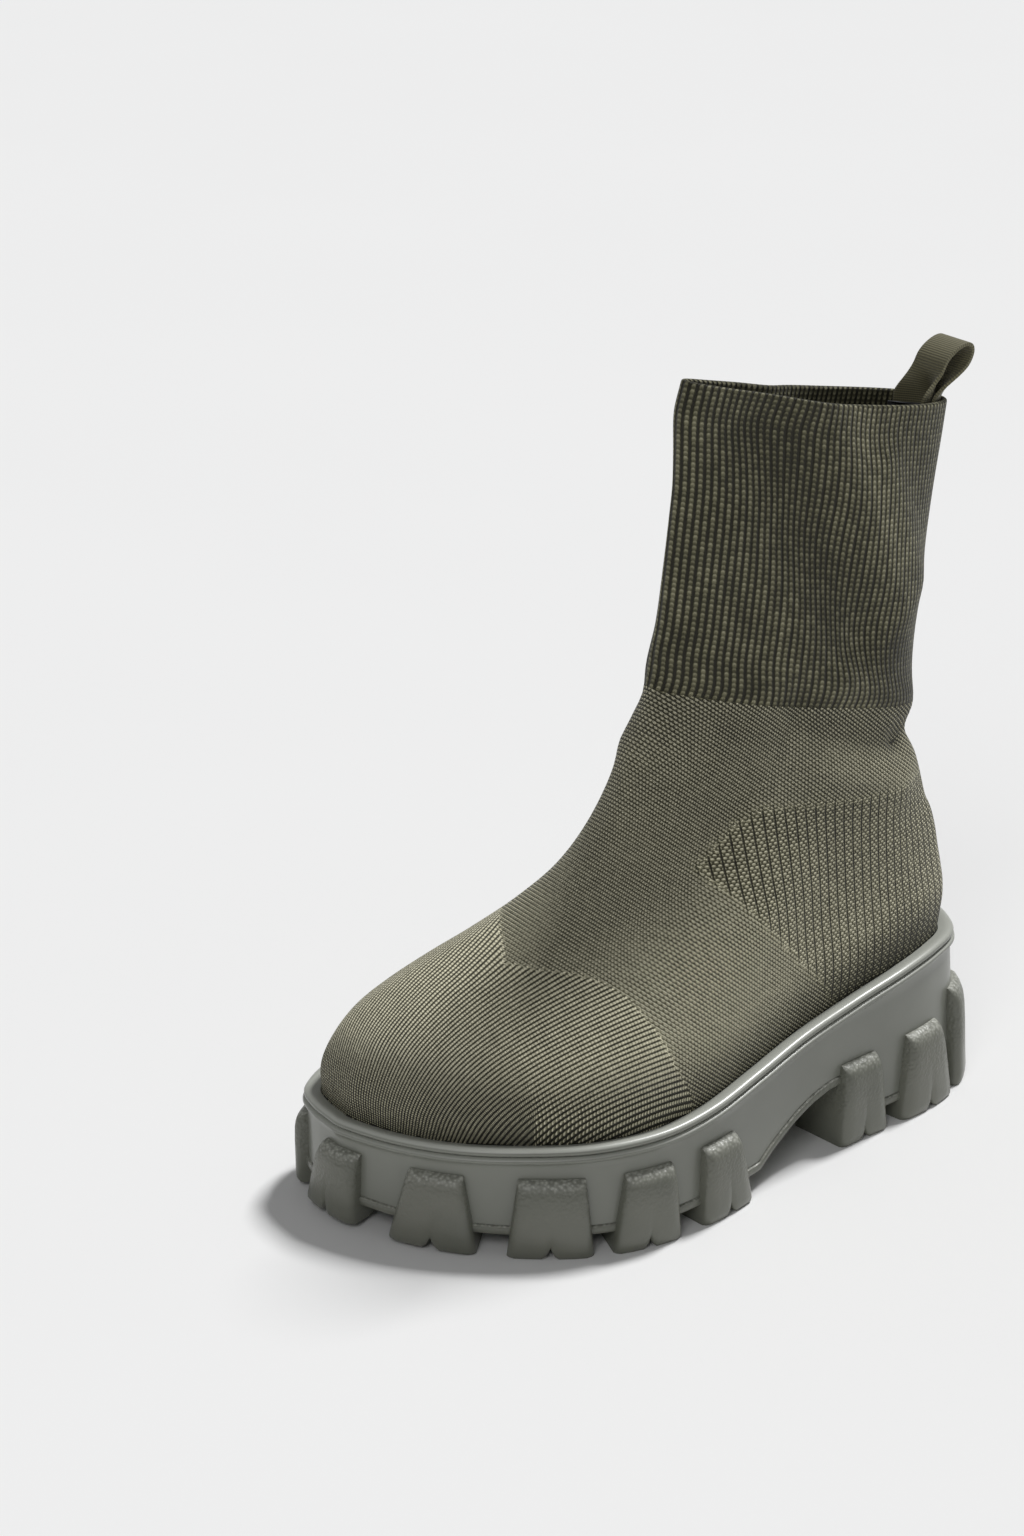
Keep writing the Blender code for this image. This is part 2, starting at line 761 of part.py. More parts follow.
def main():
    """Model each piece, then set the origin."""
    clear_scene()
    knit = make_material("knit", KNIT, 0.9)
    sole = make_material("moulded_sole", SOLE_GREY, 0.5)
    rubber = make_material("rubber", LUG_GREY, 0.55)
    webbing = make_material("webbing", WEB, 0.8)
    dark = make_material("dark_cloth", DARK_CLOTH, 0.9)
    make_midsole(sole)
    make_outsole(rubber)
    make_upper(knit)
    make_insole(dark)
    make_pull_loop(webbing)
    make_back_patch(dark)
    set_origin()


main()
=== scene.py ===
"""Dress the sock boot: knitted upper, moulded platform, rubber lugs, pull loop and patch.

Lengths are metres, in the part's frame: toe towards -Y, outer side towards +X.
"""

import math

import bmesh
import bpy
import numpy as np
from mathutils import Matrix, Vector


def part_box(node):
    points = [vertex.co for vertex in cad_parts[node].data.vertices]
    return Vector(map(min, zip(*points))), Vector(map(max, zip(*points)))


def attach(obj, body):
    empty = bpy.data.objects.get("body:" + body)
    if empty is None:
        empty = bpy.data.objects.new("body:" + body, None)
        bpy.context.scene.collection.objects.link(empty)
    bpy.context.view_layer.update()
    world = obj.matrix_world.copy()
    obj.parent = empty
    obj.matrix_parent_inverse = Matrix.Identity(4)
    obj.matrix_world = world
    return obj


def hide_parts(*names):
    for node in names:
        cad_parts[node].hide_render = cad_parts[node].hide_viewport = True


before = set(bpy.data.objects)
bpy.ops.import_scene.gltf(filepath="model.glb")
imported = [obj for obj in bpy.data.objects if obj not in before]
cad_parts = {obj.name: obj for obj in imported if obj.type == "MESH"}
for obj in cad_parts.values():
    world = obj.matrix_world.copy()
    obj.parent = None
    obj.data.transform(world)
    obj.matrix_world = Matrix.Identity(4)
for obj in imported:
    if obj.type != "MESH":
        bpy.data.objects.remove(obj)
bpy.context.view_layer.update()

MM = 0.001

# Sole, as in the part: plan, heights, rim beads
SOLE_LENGTH = 0.276
BALL_WIDTH = 0.120
RIM_FORE_HEIGHT = 0.0389
RIM_HEEL_HEIGHT = 0.0603
RIM_TOE_DIP = 0.0022
TREAD_DEPTH = 0.0076
ARCH_RISE = 0.0190
TOE_SPRING = 0.0025
PLATE_THICKNESS = 0.0034
PLATE_LIP = 0.0010
WALL_TUCK = 0.0014
HEEL_FLARE = 0.0042
BEAD_HEIGHT = 0.00575
SEAT_INSET = 0.0067
SEAT_DEPTH = 0.0040

# Where the rim climbs to the heel, dips at the toe and the heel flares, in shares of SOLE_LENGTH
CLIMB_START = 0.30
CLIMB_SPAN = 0.62
DIP_SPAN = 0.35
FLARE_START = 0.72
FLARE_SPAN = 0.20

# Lugs and blocks
LUG_HEIGHT = 0.031
LUG_PROUD = 0.0058
LUG_REACH = 0.175 * BALL_WIDTH
LUG_NOTCH = 0.0038
NOTCH_DENT = 0.22
BLOCK_LENGTH = 0.017
BLOCK_HALF_WIDTH = 0.019

# Upper; the sides of the collar sag from that share of its height up
COLLAR_FRONT_HEIGHT = 0.303
COLLAR_BACK_HEIGHT = 0.2777
COLLAR_SAG = 0.0022
SAG_START = 0.86
KNIT_WALL = 0.0020

# Insole, pull loop, patch and back seam
INSOLE_THICKNESS = 0.0040
LOOP_WIDTH = 0.0165
LOOP_RISE = 0.0215
LOOP_SPREAD = 0.0108
LOOP_LEAN = 0.0085
LOOP_TUCK = 0.018
WEBBING = 0.0014
PATCH_WIDTH = 0.015
PATCH_HEIGHT = 0.020
PATCH_THICKNESS = 0.0008
SEAM_WIDTH = 2.6 * MM
SEAM_THICKNESS = 0.9 * MM
SEAM_LIFT = 0.35 * MM

# Gaps between pieces, and how far a lug sinks into the wall
CLEARANCE = 0.0003
SOFT_CLEARANCE = 0.0005
LUG_SINK = 0.0003

# Rounding of edges
TREAD_ROUNDING = 1.3 * MM
LOOP_ROUNDING = 0.25 * MM
PATCH_ROUNDING = 0.2 * MM
SEAM_ROUNDING = 0.3 * MM

# Stations on each side of a ring, steps between two rings of the table, steps of the plan,
# of the rounded hem and of the loop's bow
STATIONS = 120
RING_STEPS = 8
CURVE_STEPS = 24
HEM_STEPS = 8
BOW_STEPS = 36

# Points closer than this are one point, and shorter edges are taken out
MERGE_DISTANCE = 0.002 * MM
SHORT_EDGE = 0.001 * MM

# Stitches: ribs round the shaft, and the spacing of wales and courses in each zone. Measured,
# the ribs at the front come out wider than the real ones, and the wales of the foot and the
# toe closer. The crowding makes the ribs wider at the front than behind.
SHAFT_RIBS = 106
SHAFT_COURSE = 1.9 * MM
SHAFT_CROWDING = 0.10
FOOT_WALE = 1.7 * MM
FOOT_COURSE = 1.4 * MM
TOE_WALE = 2.3 * MM
TOE_COURSE = 1.2 * MM
HEEL_WALE = 2.3 * MM
HEEL_COURSE = 1.2 * MM

# Where the shaft's ribs go from single to paired, from the toe
PAIRING_START = 150.0 * MM
PAIRING_SPAN = 25.0 * MM

# The foot's wales: their slope in degrees, and the rod that they are wrapped round
FOOT_SLOPE = 50
FOOT_LIFT = 27.0 * MM
FOOT_RADIUS = 42.0 * MM

# The toe's wales: where they turn down at the sides, and the bend down the front
TOE_SIDE_TOP = 95.0 * MM
TOE_SIDE_TURN = 36.0 * MM
TOE_BEND_START = 50.0 * MM
TOE_BEND_HEIGHT = 30.0 * MM
TOE_BEND_RADIUS = 58.0 * MM
TOE_EDGE_HEIGHT = 47.0 * MM

# The heel's wales: the rod that they are wrapped round
HEEL_MIDDLE = 225.0 * MM
HEEL_RADIUS = 36.0 * MM

# How softly a fold that is on one side only fades towards the other
FOLD_FADE = 12.0 * MM

# Camera: where it stands, the way it looks and its lens on a 36 mm frame
CAMERA_PLACE = (0.88950, -0.68251, 0.62165)
CAMERA_AZIMUTH = 55.396
CAMERA_ELEVATION = 22.549
CAMERA_LENS = 76.057

# Plan of the rim: share of SOLE_LENGTH, then inner and outer edge in shares of BALL_WIDTH
PLAN = (
    # along, inner, outer
    (0.00, 0.137, -0.137),
    (0.01, 0.345, -0.055),
    (0.04, 0.420, 0.092),
    (0.09, 0.480, 0.247),
    (0.16, 0.507, 0.388),
    (0.24, 0.495, 0.501),
    (0.33, 0.452, 0.548),
    (0.42, 0.415, 0.535),
    (0.52, 0.378, 0.480),
    (0.62, 0.358, 0.425),
    (0.72, 0.350, 0.392),
    (0.82, 0.345, 0.357),
    (0.90, 0.312, 0.302),
    (0.96, 0.226, 0.226),
    (0.99, 0.115, 0.114),
    (1.00, 0.000, 0.000),
)

# Underside of the tread plate
UNDERSIDE = (
    # along, arch, spring
    (0.000, 0.00, 1.00),
    (0.060, 0.00, 0.45),
    (0.120, 0.00, 0.12),
    (0.180, 0.00, 0.00),
    (0.525, 0.00, 0.00),
    (0.550, 0.25, 0.00),
    (0.580, 0.48, 0.00),
    (0.609, 0.68, 0.00),
    (0.639, 0.85, 0.00),
    (0.668, 0.96, 0.00),
    (0.690, 1.00, 0.00),
    (0.715, 0.85, 0.00),
    (0.735, 0.40, 0.00),
    (0.755, 0.06, 0.00),
    (0.775, 0.00, 0.00),
    (1.000, 0.00, 0.00),
)

# Rim beads from the top of the wall up
BEADS = (
    # inset in shares of SEAT_INSET, up in shares of BEAD_HEIGHT
    (0.09, 0.00),
    (-0.02, 0.04),
    (-0.06, 0.11),
    (-0.06, 0.25),
    (0.00, 0.33),
    (0.18, 0.38),
    (0.32, 0.43),
    (0.20, 0.48),
    (0.07, 0.54),
    (0.02, 0.63),
    (0.02, 0.75),
    (0.08, 0.87),
    (0.22, 0.95),
    (0.38, 0.98),
    (0.60, 0.92),
)

# Top edge of the seat's wall, up in shares of BEAD_HEIGHT
SEAT_EDGE_UP = 0.78

# Heights of the plain wall's rings, in shares of it
WALL_SHARES = (0.0, 0.02, 0.15, 0.3, 0.45, 0.6, 0.75, 0.88, 0.96)

# Rounded edge of the tread plate from its foot up, in shares of PLATE_LIP and its thickness
PLATE_EDGE = (
    # tuck, up
    (1.0, 0.0),
    (0.3, 0.08),
    (0.0, 0.3),
    (0.0, 0.7),
    (0.3, 0.92),
    (1.0, 1.0),
)

# Rounded edge of the footbed from its foot up, in shares of FOOTBED_EDGE_TUCK and its thickness
FOOTBED_EDGE_TUCK = 0.35 * INSOLE_THICKNESS
FOOTBED_EDGE = (
    # tuck, up
    (0.0, 0.0),
    (0.0, 0.65),
    (0.3, 0.88),
    (1.0, 1.0),
    (4.0, 1.0),
)

# Lugs: edge, ends of top and foot in shares of SOLE_LENGTH along it, top in LUG_HEIGHT
LUGS = (
    # side, top start, top end, foot start, foot end, rise
    (1, -0.022, 0.047, -0.060, 0.043, 1.00),
    (1, 0.123, 0.199, 0.094, 0.217, 1.00),
    (1, 0.272, 0.362, 0.257, 0.373, 1.00),
    (1, 0.417, 0.489, 0.399, 0.500, 1.00),
    (1, 0.543, 0.609, 0.540, 0.641, 1.02),
    (1, 0.844, 0.913, 0.837, 0.931, 1.10),
    (1, 0.978, 1.051, 0.960, 1.076, 1.12),
    (1, 1.098, 1.170, 1.092, 1.180, 1.35),
    (-1, 0.100, 0.165, 0.094, 0.180, 1.00),
    (-1, 0.235, 0.310, 0.220, 0.325, 1.00),
    (-1, 0.375, 0.445, 0.362, 0.458, 1.00),
    (-1, 0.505, 0.572, 0.497, 0.585, 1.02),
    (-1, 0.775, 0.845, 0.765, 0.857, 1.10),
    (-1, 0.905, 0.978, 0.893, 0.990, 1.12),
    (-1, 1.030, 1.098, 1.020, 1.108, 1.35),
)

# Across a lug: share of its width, how proud its face stands there, and its notch
LUG_STATIONS = (
    # across, proud, notch
    (0.00, 0.55, 0.00),
    (0.03, 0.80, 0.00),
    (0.09, 0.97, 0.00),
    (0.22, 1.00, 0.00),
    (0.40, 1.00, 0.00),
    (0.455, 1.00, 0.30),
    (0.50, 1.00, 1.00),
    (0.545, 1.00, 0.30),
    (0.60, 1.00, 0.00),
    (0.78, 1.00, 0.00),
    (0.91, 0.97, 0.00),
    (0.97, 0.80, 0.00),
    (1.00, 0.55, 0.00),
)

# Face of a lug from its foot up
LUG_FACE = (
    # up, proud
    (0.00, 0.80),
    (0.04, 0.92),
    (0.12, 0.98),
    (0.30, 0.98),
    (0.60, 1.00),
    (0.78, 0.98),
    (0.86, 0.92),
    (0.92, 0.80),
    (0.97, 0.60),
    (1.00, 0.26),
)

# Blocks under the sole: share of SOLE_LENGTH, share of BALL_WIDTH
BLOCKS = (
    # along, across
    (0.13, -0.05),
    (0.24, 0.02),
    (0.35, 0.05),
    (0.46, 0.05),
    (0.81, 0.00),
    (0.90, 0.00),
)

# Rings of the upper from the rim to the collar: places of the front and back as shares of
# the seat's length and of their own height, breadth, how far the ring is a slack tube, and
# how far it follows the rim
RINGS = (
    # front along, front up, back along, back up, width, tube, seat
    (0.000, 0.000, 1.000, 0.000, 1.000, 0.00, 1.00),
    (0.002, 0.036, 1.003, 0.034, 1.016, 0.00, 1.00),
    (0.017, 0.071, 1.006, 0.062, 1.008, 0.02, 0.92),
    (0.042, 0.105, 1.006, 0.091, 0.978, 0.05, 0.80),
    (0.079, 0.133, 1.002, 0.125, 0.930, 0.10, 0.65),
    (0.128, 0.160, 0.996, 0.163, 0.876, 0.17, 0.50),
    (0.193, 0.189, 0.990, 0.202, 0.822, 0.26, 0.36),
    (0.270, 0.229, 0.981, 0.236, 0.768, 0.38, 0.24),
    (0.343, 0.283, 0.969, 0.264, 0.716, 0.52, 0.14),
    (0.397, 0.356, 0.958, 0.308, 0.666, 0.66, 0.07),
    (0.437, 0.451, 0.945, 0.370, 0.606, 0.80, 0.02),
    (0.469, 0.564, 0.937, 0.459, 0.538, 0.90, 0.00),
    (0.483, 0.655, 0.942, 0.577, 0.475, 0.96, 0.00),
    (0.494, 0.758, 0.956, 0.702, 0.418, 1.00, 0.00),
    (0.506, 0.866, 0.973, 0.837, 0.366, 1.00, 0.00),
    (0.519, 0.950, 0.988, 0.938, 0.330, 1.00, 0.00),
    (0.531, 1.000, 0.996, 1.000, 0.312, 1.00, 0.00),
)

# The ring from which the knit is ribbed
RIB_RING = 11

# The shaft's section: how full it is at its front fold and at its back
FOLD_FULLNESS = 0.80
BACK_FULLNESS = 1.50

# Creases of the knit as straight soft troughs seen from the side; a ridge has a depth
# below zero. Side 1 is the outer side, -1 the inner, 0 both. Lengths in millimetres.
CREASES = (
    # side, y, z, end y, end z, half width, depth
    (0, 256, 150, 236, 153, 6.5, 2.8),
    (1, 236, 152, 184, 180, 9.0, 3.0),
    (1, 240, 166, 205, 184, 8.0, -1.8),
    (1, 232, 137, 192, 148, 9.0, -1.8),
    (1, 190, 300, 232, 206, 13.0, -3.6),
    (1, 172, 286, 212, 204, 13.0, 3.4),
    (1, 160, 246, 196, 186, 11.0, -1.6),
    (1, 226, 262, 244, 214, 8.0, -2.0),
    (1, 131, 196, 156, 178, 6.0, 1.6),
    (1, 124, 180, 162, 160, 7.0, -1.4),
    (1, 118, 164, 152, 146, 6.0, 1.5),
    (0, 139, 296, 140, 312, 14.0, -3.0),
    (0, 131, 215, 135, 262, 12.0, 1.4),
    (-1, 232, 150, 186, 170, 9.0, 2.6),
    (-1, 190, 288, 224, 214, 11.0, 3.0),
    (-1, 128, 188, 160, 166, 7.0, 1.6),
    (-1, 122, 168, 156, 148, 7.0, -1.4),
)

# Soft strips of painted shade and painted light along the folds, which darken or lighten the
# yarn's tone, in millimetres like the creases
FOLD_SHADES = (
    # side, y, z, end y, end z, half width, shade
    (1, 176, 288, 201, 224, 15.0, -0.09),
    (1, 211, 282, 229, 224, 10.0, 0.10),
    (1, 232, 188, 241, 158, 10.0, -0.16),
    (1, 184, 176, 234, 152, 8.0, -0.09),
    (1, 196, 160, 238, 142, 9.0, 0.07),
)

# Where the toe's knit ends: degrees from straight up round the foot, and y in millimetres
TOE_EDGE = (
    # turn, y
    (0, 66.0),
    (15, 73.5),
    (27, 83.0),
    (33, 87.5),
    (41, 91.5),
    (50, 94.5),
    (60, 98.0),
    (72, 101.5),
    (88, 110.0),
    (120, 112.0),
)

# How deep the rows of the loop's legs sit, in shares of LOOP_TUCK
LEG_DROPS = (1.0, 0.7, 0.4, 0.1)

# Outline of the heel's knit from the side, in millimetres
HEEL_EDGE = (
    # y, z
    (133, 125),
    (147, 111),
    (163, 92),
    (180, 73),
    (192, 57),
    (206, 40),
    (300, 40),
    (300, 134),
    (245, 136),
    (204, 139),
    (162, 144),
    (149, 139),
)


def smooth(values):
    """Ease from 0 to 1 as values go from 0 to 1."""
    held = np.clip(values, 0.0, 1.0)
    return held * held * (3.0 - 2.0 * held)


# Plan curve of the rim

def curve_through(points, steps):
    """Points of a closed centripetal Catmull-Rom curve, steps to each stretch."""
    count = len(points)
    result = []
    for index in range(count):
        p0, p1, p2, p3 = (points[(index + shift) % count] for shift in (-1, 0, 1, 2))
        t1 = math.sqrt(np.linalg.norm(p1 - p0))
        t2 = t1 + math.sqrt(np.linalg.norm(p2 - p1))
        t3 = t2 + math.sqrt(np.linalg.norm(p3 - p2))
        for step in range(steps):
            t = t1 + (t2 - t1) * step / steps
            a1 = p0 + (p1 - p0) * t / t1
            a2 = p1 + (p2 - p1) * (t - t1) / (t2 - t1)
            a3 = p2 + (p3 - p2) * (t - t2) / (t3 - t2)
            b1 = a1 + (a2 - a1) * t / t2
            b2 = a2 + (a3 - a2) * (t - t1) / (t3 - t1)
            result.append(b1 + (b2 - b1) * (t - t1) / (t2 - t1))
    return np.array(result)


def plan_edges():
    """Each side of the rim from toe to heel: columns x, y, outward x, outward y, arc."""
    outer = [np.array((row[2] * BALL_WIDTH, row[0] * SOLE_LENGTH)) for row in PLAN]
    inner = [np.array((-row[1] * BALL_WIDTH, row[0] * SOLE_LENGTH)) for row in PLAN]
    curve = curve_through(outer + inner[-2:0:-1], CURVE_STEPS)
    ahead = np.roll(curve, -1, axis=0) - np.roll(curve, 1, axis=0)
    ahead /= np.linalg.norm(ahead, axis=1)[:, None]
    outward = np.column_stack((ahead[:, 1], -ahead[:, 0]))
    heel = (len(PLAN) - 1) * CURVE_STEPS
    around = np.vstack((curve[heel:], curve[:1]))
    facing = np.vstack((outward[heel:], outward[:1]))
    edges = {}
    for side, line, normal in ((1, curve[:heel + 1], outward[:heel + 1]),
                               (-1, around[::-1], facing[::-1])):
        steps = np.linalg.norm(np.diff(line, axis=0), axis=1)
        arc = np.concatenate(((0.0,), np.cumsum(steps)))
        edges[side] = np.column_stack((line, normal, arc))
    return edges


EDGES = plan_edges()


def edge_points(y, inset):
    """Points on the rim's plan at the ring's y values, moved in by inset."""
    points = np.zeros((len(y), 2))
    for side in (1, -1):
        mine = RING_SIDES == side
        edge = EDGES[side]
        x, out_x, out_y = (np.interp(y[mine], edge[:, 1], edge[:, column])
                           for column in (0, 2, 3))
        depth = np.broadcast_to(inset, y.shape)[mine]
        points[mine] = np.column_stack((x - depth * out_x, y[mine] - depth * out_y))
    return points


def edge_at_arc(side, arc, outset):
    """Point at an arc length from the toe's tip, moved out, past either end if need be."""
    length = EDGES[side][-1, 4]
    if arc < 0.0:
        side, arc = -side, -arc
    elif arc > length:
        side, arc = -side, EDGES[-side][-1, 4] - (arc - length)
    edge = EDGES[side]
    x, y, out_x, out_y = (np.interp(arc, edge[:, 4], edge[:, column]) for column in range(4))
    return np.array((x + outset * out_x, y + outset * out_y))


def ring_stations():
    """Side and share of each station of a closed ring, the first one repeated as last."""
    shares = [0.5 - 0.5 * math.cos(math.pi * k / STATIONS) for k in range(STATIONS + 1)]
    order = [(1, share) for share in shares]
    order += [(-1, share) for share in shares[-2:0:-1]]
    order.append(order[0])
    sides, values = zip(*order)
    return np.array(sides), np.array(values)


RING_SIDES, RING_SHARES = ring_stations()


# Heights along the sole

def rim_height(y):
    """Top of the plain wall, under the beads."""
    share = y / SOLE_LENGTH
    climb = smooth((share - CLIMB_START) / CLIMB_SPAN)
    dip = RIM_TOE_DIP * (1.0 - smooth(share / DIP_SPAN))
    return RIM_FORE_HEIGHT + (RIM_HEEL_HEIGHT - RIM_FORE_HEIGHT) * climb - dip


def seat_height(y):
    """Top of the beads, where the knit meets the rim."""
    return rim_height(y) + BEAD_HEIGHT


def toe_lift(y):
    """How far the toe spring lifts the lugs' feet off the floor."""
    table = np.array(UNDERSIDE)
    return TOE_SPRING * np.interp(y / SOLE_LENGTH, table[:, 0], table[:, 2])


def plate_bottom(y):
    """Underside of the tread plate: toe spring, arch and heel."""
    table = np.array(UNDERSIDE)
    arch = ARCH_RISE * np.interp(y / SOLE_LENGTH, table[:, 0], table[:, 1])
    return TREAD_DEPTH + arch + toe_lift(y)


def wall_inset(y, height):
    """How far the plain wall stands inside the rim's plan: the heel flares at its foot."""
    heel = smooth((y / SOLE_LENGTH - FLARE_START) / FLARE_SPAN)
    down = np.clip(1.0 - height / rim_height(y), 0.0, 1.0)
    return WALL_TUCK - HEEL_FLARE * heel * down


def wall_foot(y):
    """Underside of the midsole, a clearance over the tread plate."""
    return plate_bottom(y) + PLATE_THICKNESS + CLEARANCE


# Meshes from grids

def bend_grid(points, maps=None, traits=None):
    """A grid bent to rows of points, with UV maps and vertex traits, its seams merged."""
    rows, columns = points.shape[:2]
    bm = bmesh.new()
    bmesh.ops.create_grid(bm, x_segments=columns - 1, y_segments=rows - 1, size=0.5)
    mesh = bpy.data.meshes.new("grid")
    bm.to_mesh(mesh)
    bm.free()
    flat = np.empty(len(mesh.vertices) * 3)
    mesh.vertices.foreach_get("co", flat)
    flat = flat.reshape(-1, 3)
    column = np.rint((flat[:, 0] + 0.5) * (columns - 1)).astype(int)
    row = np.rint((flat[:, 1] + 0.5) * (rows - 1)).astype(int)
    mesh.vertices.foreach_set("co", points[row, column].ravel())
    corner = np.empty(len(mesh.loops), dtype=np.int32)
    mesh.loops.foreach_get("vertex_index", corner)
    for name, values in (maps or {}).items():
        layer = mesh.uv_layers.new(name=name)
        layer.data.foreach_set("uv", values[row[corner], column[corner]].ravel())
    for name, values in (traits or {}).items():
        layer = mesh.attributes.new(name, "FLOAT", "POINT")
        layer.data.foreach_set("value", values[row, column].ravel())
    bm = bmesh.new()
    bm.from_mesh(mesh)
    bpy.data.meshes.remove(mesh)
    bmesh.ops.remove_doubles(bm, verts=bm.verts, dist=MERGE_DISTANCE)
    bmesh.ops.dissolve_degenerate(bm, dist=SHORT_EDGE, edges=bm.edges)
    bmesh.ops.recalc_face_normals(bm, faces=bm.faces)
    return bm


def join_meshes(parts):
    """One bmesh that holds several."""
    whole = bmesh.new()
    for part in parts:
        mesh = bpy.data.meshes.new("part")
        part.to_mesh(mesh)
        part.free()
        whole.from_mesh(mesh)
        bpy.data.meshes.remove(mesh)
    return whole


def finish_piece(name, bm, material, slot, *nodes, angle=40, bevel=0.0):
    """Put a piece in the scene, in the part's frame and on its body, in place of its nodes."""
    bmesh.ops.translate(bm, vec=SHIFT, verts=bm.verts)
    mesh = bpy.data.meshes.new(name)
    bm.to_mesh(mesh)
    bm.free()
    mesh.shade_smooth()
    mesh.set_sharp_from_angle(angle=math.radians(angle))
    mesh.materials.append(material)
    piece = bpy.data.objects.new(name, mesh)
    bpy.context.collection.objects.link(piece)
    if bevel:
        round_edges = piece.modifiers.new("rounded", "BEVEL")
        round_edges.width = bevel
        round_edges.segments = 3
        round_edges.limit_method = "ANGLE"
        round_edges.angle_limit = math.radians(angle)
        round_edges.harden_normals = True
    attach(piece, "root")
    if nodes:
        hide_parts(*nodes)
    return piece


def between_rows(rows, steps):
    """Rows with steps to each stretch of a smooth curve through the given ones."""
    padded = np.concatenate((2 * rows[:1] - rows[1:2], rows, 2 * rows[-1:] - rows[-2:-1]))
    result = []
    for index in range(len(rows) - 1):
        p0, p1, p2, p3 = padded[index:index + 4]
        for step in range(steps):
            t = step / steps
            result.append(0.5 * (2 * p1 + (p2 - p0) * t + (2 * p0 - 5 * p1 + 4 * p2 - p3) * t * t
                                 + (3 * p1 - p0 - 3 * p2 + p3) * t ** 3))
    result.append(rows[-1])
    return np.array(result)


def plan_ring(inset, height):
    """Ring on the rim's plan; inset and height are functions of y along the sole."""
    base = RING_SHARES * SOLE_LENGTH
    return np.column_stack((edge_points(base, inset(base)), height(base)))


def spine_ring(inset, height):
    """Ring drawn in to the middle line, which closes a loft without a hole."""
    ring = plan_ring(inset, height)
    fellow = ring[::-1]
    ring[:, :2] = 0.5 * (ring[:, :2] + fellow[:, :2])
    return ring


# Knitted upper

def tube_half(share):
    """Half breadth of the slack shaft at a share from front to back, 1 at its widest."""
    def shape(value):
        fullness = FOLD_FULLNESS + (BACK_FULLNESS - FOLD_FULLNESS) * value
        return fullness * np.sqrt(value * (1.0 - value))
    return shape(share) / shape(np.linspace(0.0, 1.0, 201)).max()


def upper_ring(row):
    """Outer points of one ring of the upper."""
    front_along, front_up, back_along, back_up, width, tube, seat = row
    front_seat = np.interp(0.0, EDGES[1][:, 1], EDGES[1][:, 1] - SEAT_INSET * EDGES[1][:, 3])
    back_seat = EDGES[1][-1, 1] - SEAT_INSET * EDGES[1][-1, 3]
    span = back_seat - front_seat
    low, high = seat_height(front_seat), seat_height(back_seat)
    front = (front_seat + front_along * span, low + front_up * (COLLAR_FRONT_HEIGHT - low))
    back = (front_seat + back_along * span, high + back_up * (COLLAR_BACK_HEIGHT - high))
    sag = COLLAR_SAG * smooth((front_up - SAG_START) / (1.0 - SAG_START))
    half = 0.5 * width * (BALL_WIDTH - 2.0 * SEAT_INSET)
    foot = edge_points(RING_SHARES * SOLE_LENGTH, SEAT_INSET)
    along = (foot[:, 1] - front_seat) / span
    along += (RING_SHARES - along) * tube
    y = front[0] + (back[0] - front[0]) * along
    z = front[1] + (back[1] - front[1]) * along
    z += seat * (seat_height(foot[:, 1]) - (low + (high - low) * along))
    z -= sag * np.sin(math.pi * RING_SHARES)
    x = (1.0 - tube) * width * foot[:, 0] + tube * RING_SIDES * half * tube_half(RING_SHARES)
    return np.column_stack((x, y, z))


def outward(skin):
    """Outward direction at each point of a closed skin whose last column repeats the first."""
    ring = skin[:, :-1]
    around = np.roll(ring, -1, axis=1) - np.roll(ring, 1, axis=1)
    rising = np.gradient(ring, axis=0)
    normal = np.cross(around, rising)
    normal /= np.linalg.norm(normal, axis=2)[:, :, None]
    return np.concatenate((normal, normal[:, :1]), axis=1)


def along_folds(skin, table):
    """Sum of the table's soft strips, each as strong as its last column."""
    total = np.zeros(skin.shape[:2])
    for side, y, z, end_y, end_z, width, strength in table:
        start = np.array((y, z)) * MM
        run = np.array((end_y, end_z)) * MM - start
        reach = (skin[:, :, 1:] - start) @ run / (run @ run)
        nearest = start + np.clip(reach, 0.0, 1.0)[:, :, None] * run
        away = np.linalg.norm(skin[:, :, 1:] - nearest, axis=2)
        shape = np.exp(-(away / (width * MM)) ** 2)
        if side:
            shape *= smooth(0.5 + side * skin[:, :, 0] / FOLD_FADE)
        total += strength * shape
    return total


def crease(skin):
    """Press the soft troughs and lift the ridges of the table into the skin."""
    depth = along_folds(skin, CREASES) * MM
    return skin - depth[:, :, None] * outward(skin)


def outer_skin():
    """Fine outer skin of the upper: a foot edge, then the rings up to the collar."""
    rows = np.array([upper_ring(row) for row in RINGS])
    skin = between_rows(rows, RING_STEPS)
    return crease(skin)


def hem(skin, normal):
    """Rounded welt over the collar, from the outer skin to the lining."""
    top, facing = skin[-1], normal[-1]
    rise = skin[-1] - skin[-2]
    rise /= np.linalg.norm(rise, axis=1)[:, None]
    middle = top - 0.5 * KNIT_WALL * facing
    turns = np.linspace(0.0, math.pi, HEM_STEPS + 1)[1:-1]
    return np.array([middle + 0.5 * KNIT_WALL * (math.cos(turn) * facing + math.sin(turn) * rise)
                     for turn in turns])


def ring_lengths(skin):
    """Share of each ring's girth at each column."""
    steps = np.linalg.norm(np.diff(skin, axis=1), axis=2)
    arc = np.concatenate((np.zeros((len(skin), 1)), np.cumsum(steps, axis=1)), axis=1)
    return arc / arc[:, -1:]


def climb_lengths(skin, start):
    """Distance up each column from a row, below zero under it."""
    steps = np.linalg.norm(np.diff(skin, axis=0), axis=2)
    arc = np.concatenate((np.zeros((1, skin.shape[1])), np.cumsum(steps, axis=0)))
    return arc - arc[start]


def flat_round(across, up, radius):
    """Distance round a rod of that radius laid along the foot, straight down its sides."""
    turn = np.arctan2(np.abs(across), np.maximum(up, 0.0))
    return np.sign(across) * (radius * turn + np.maximum(-up, 0.0))


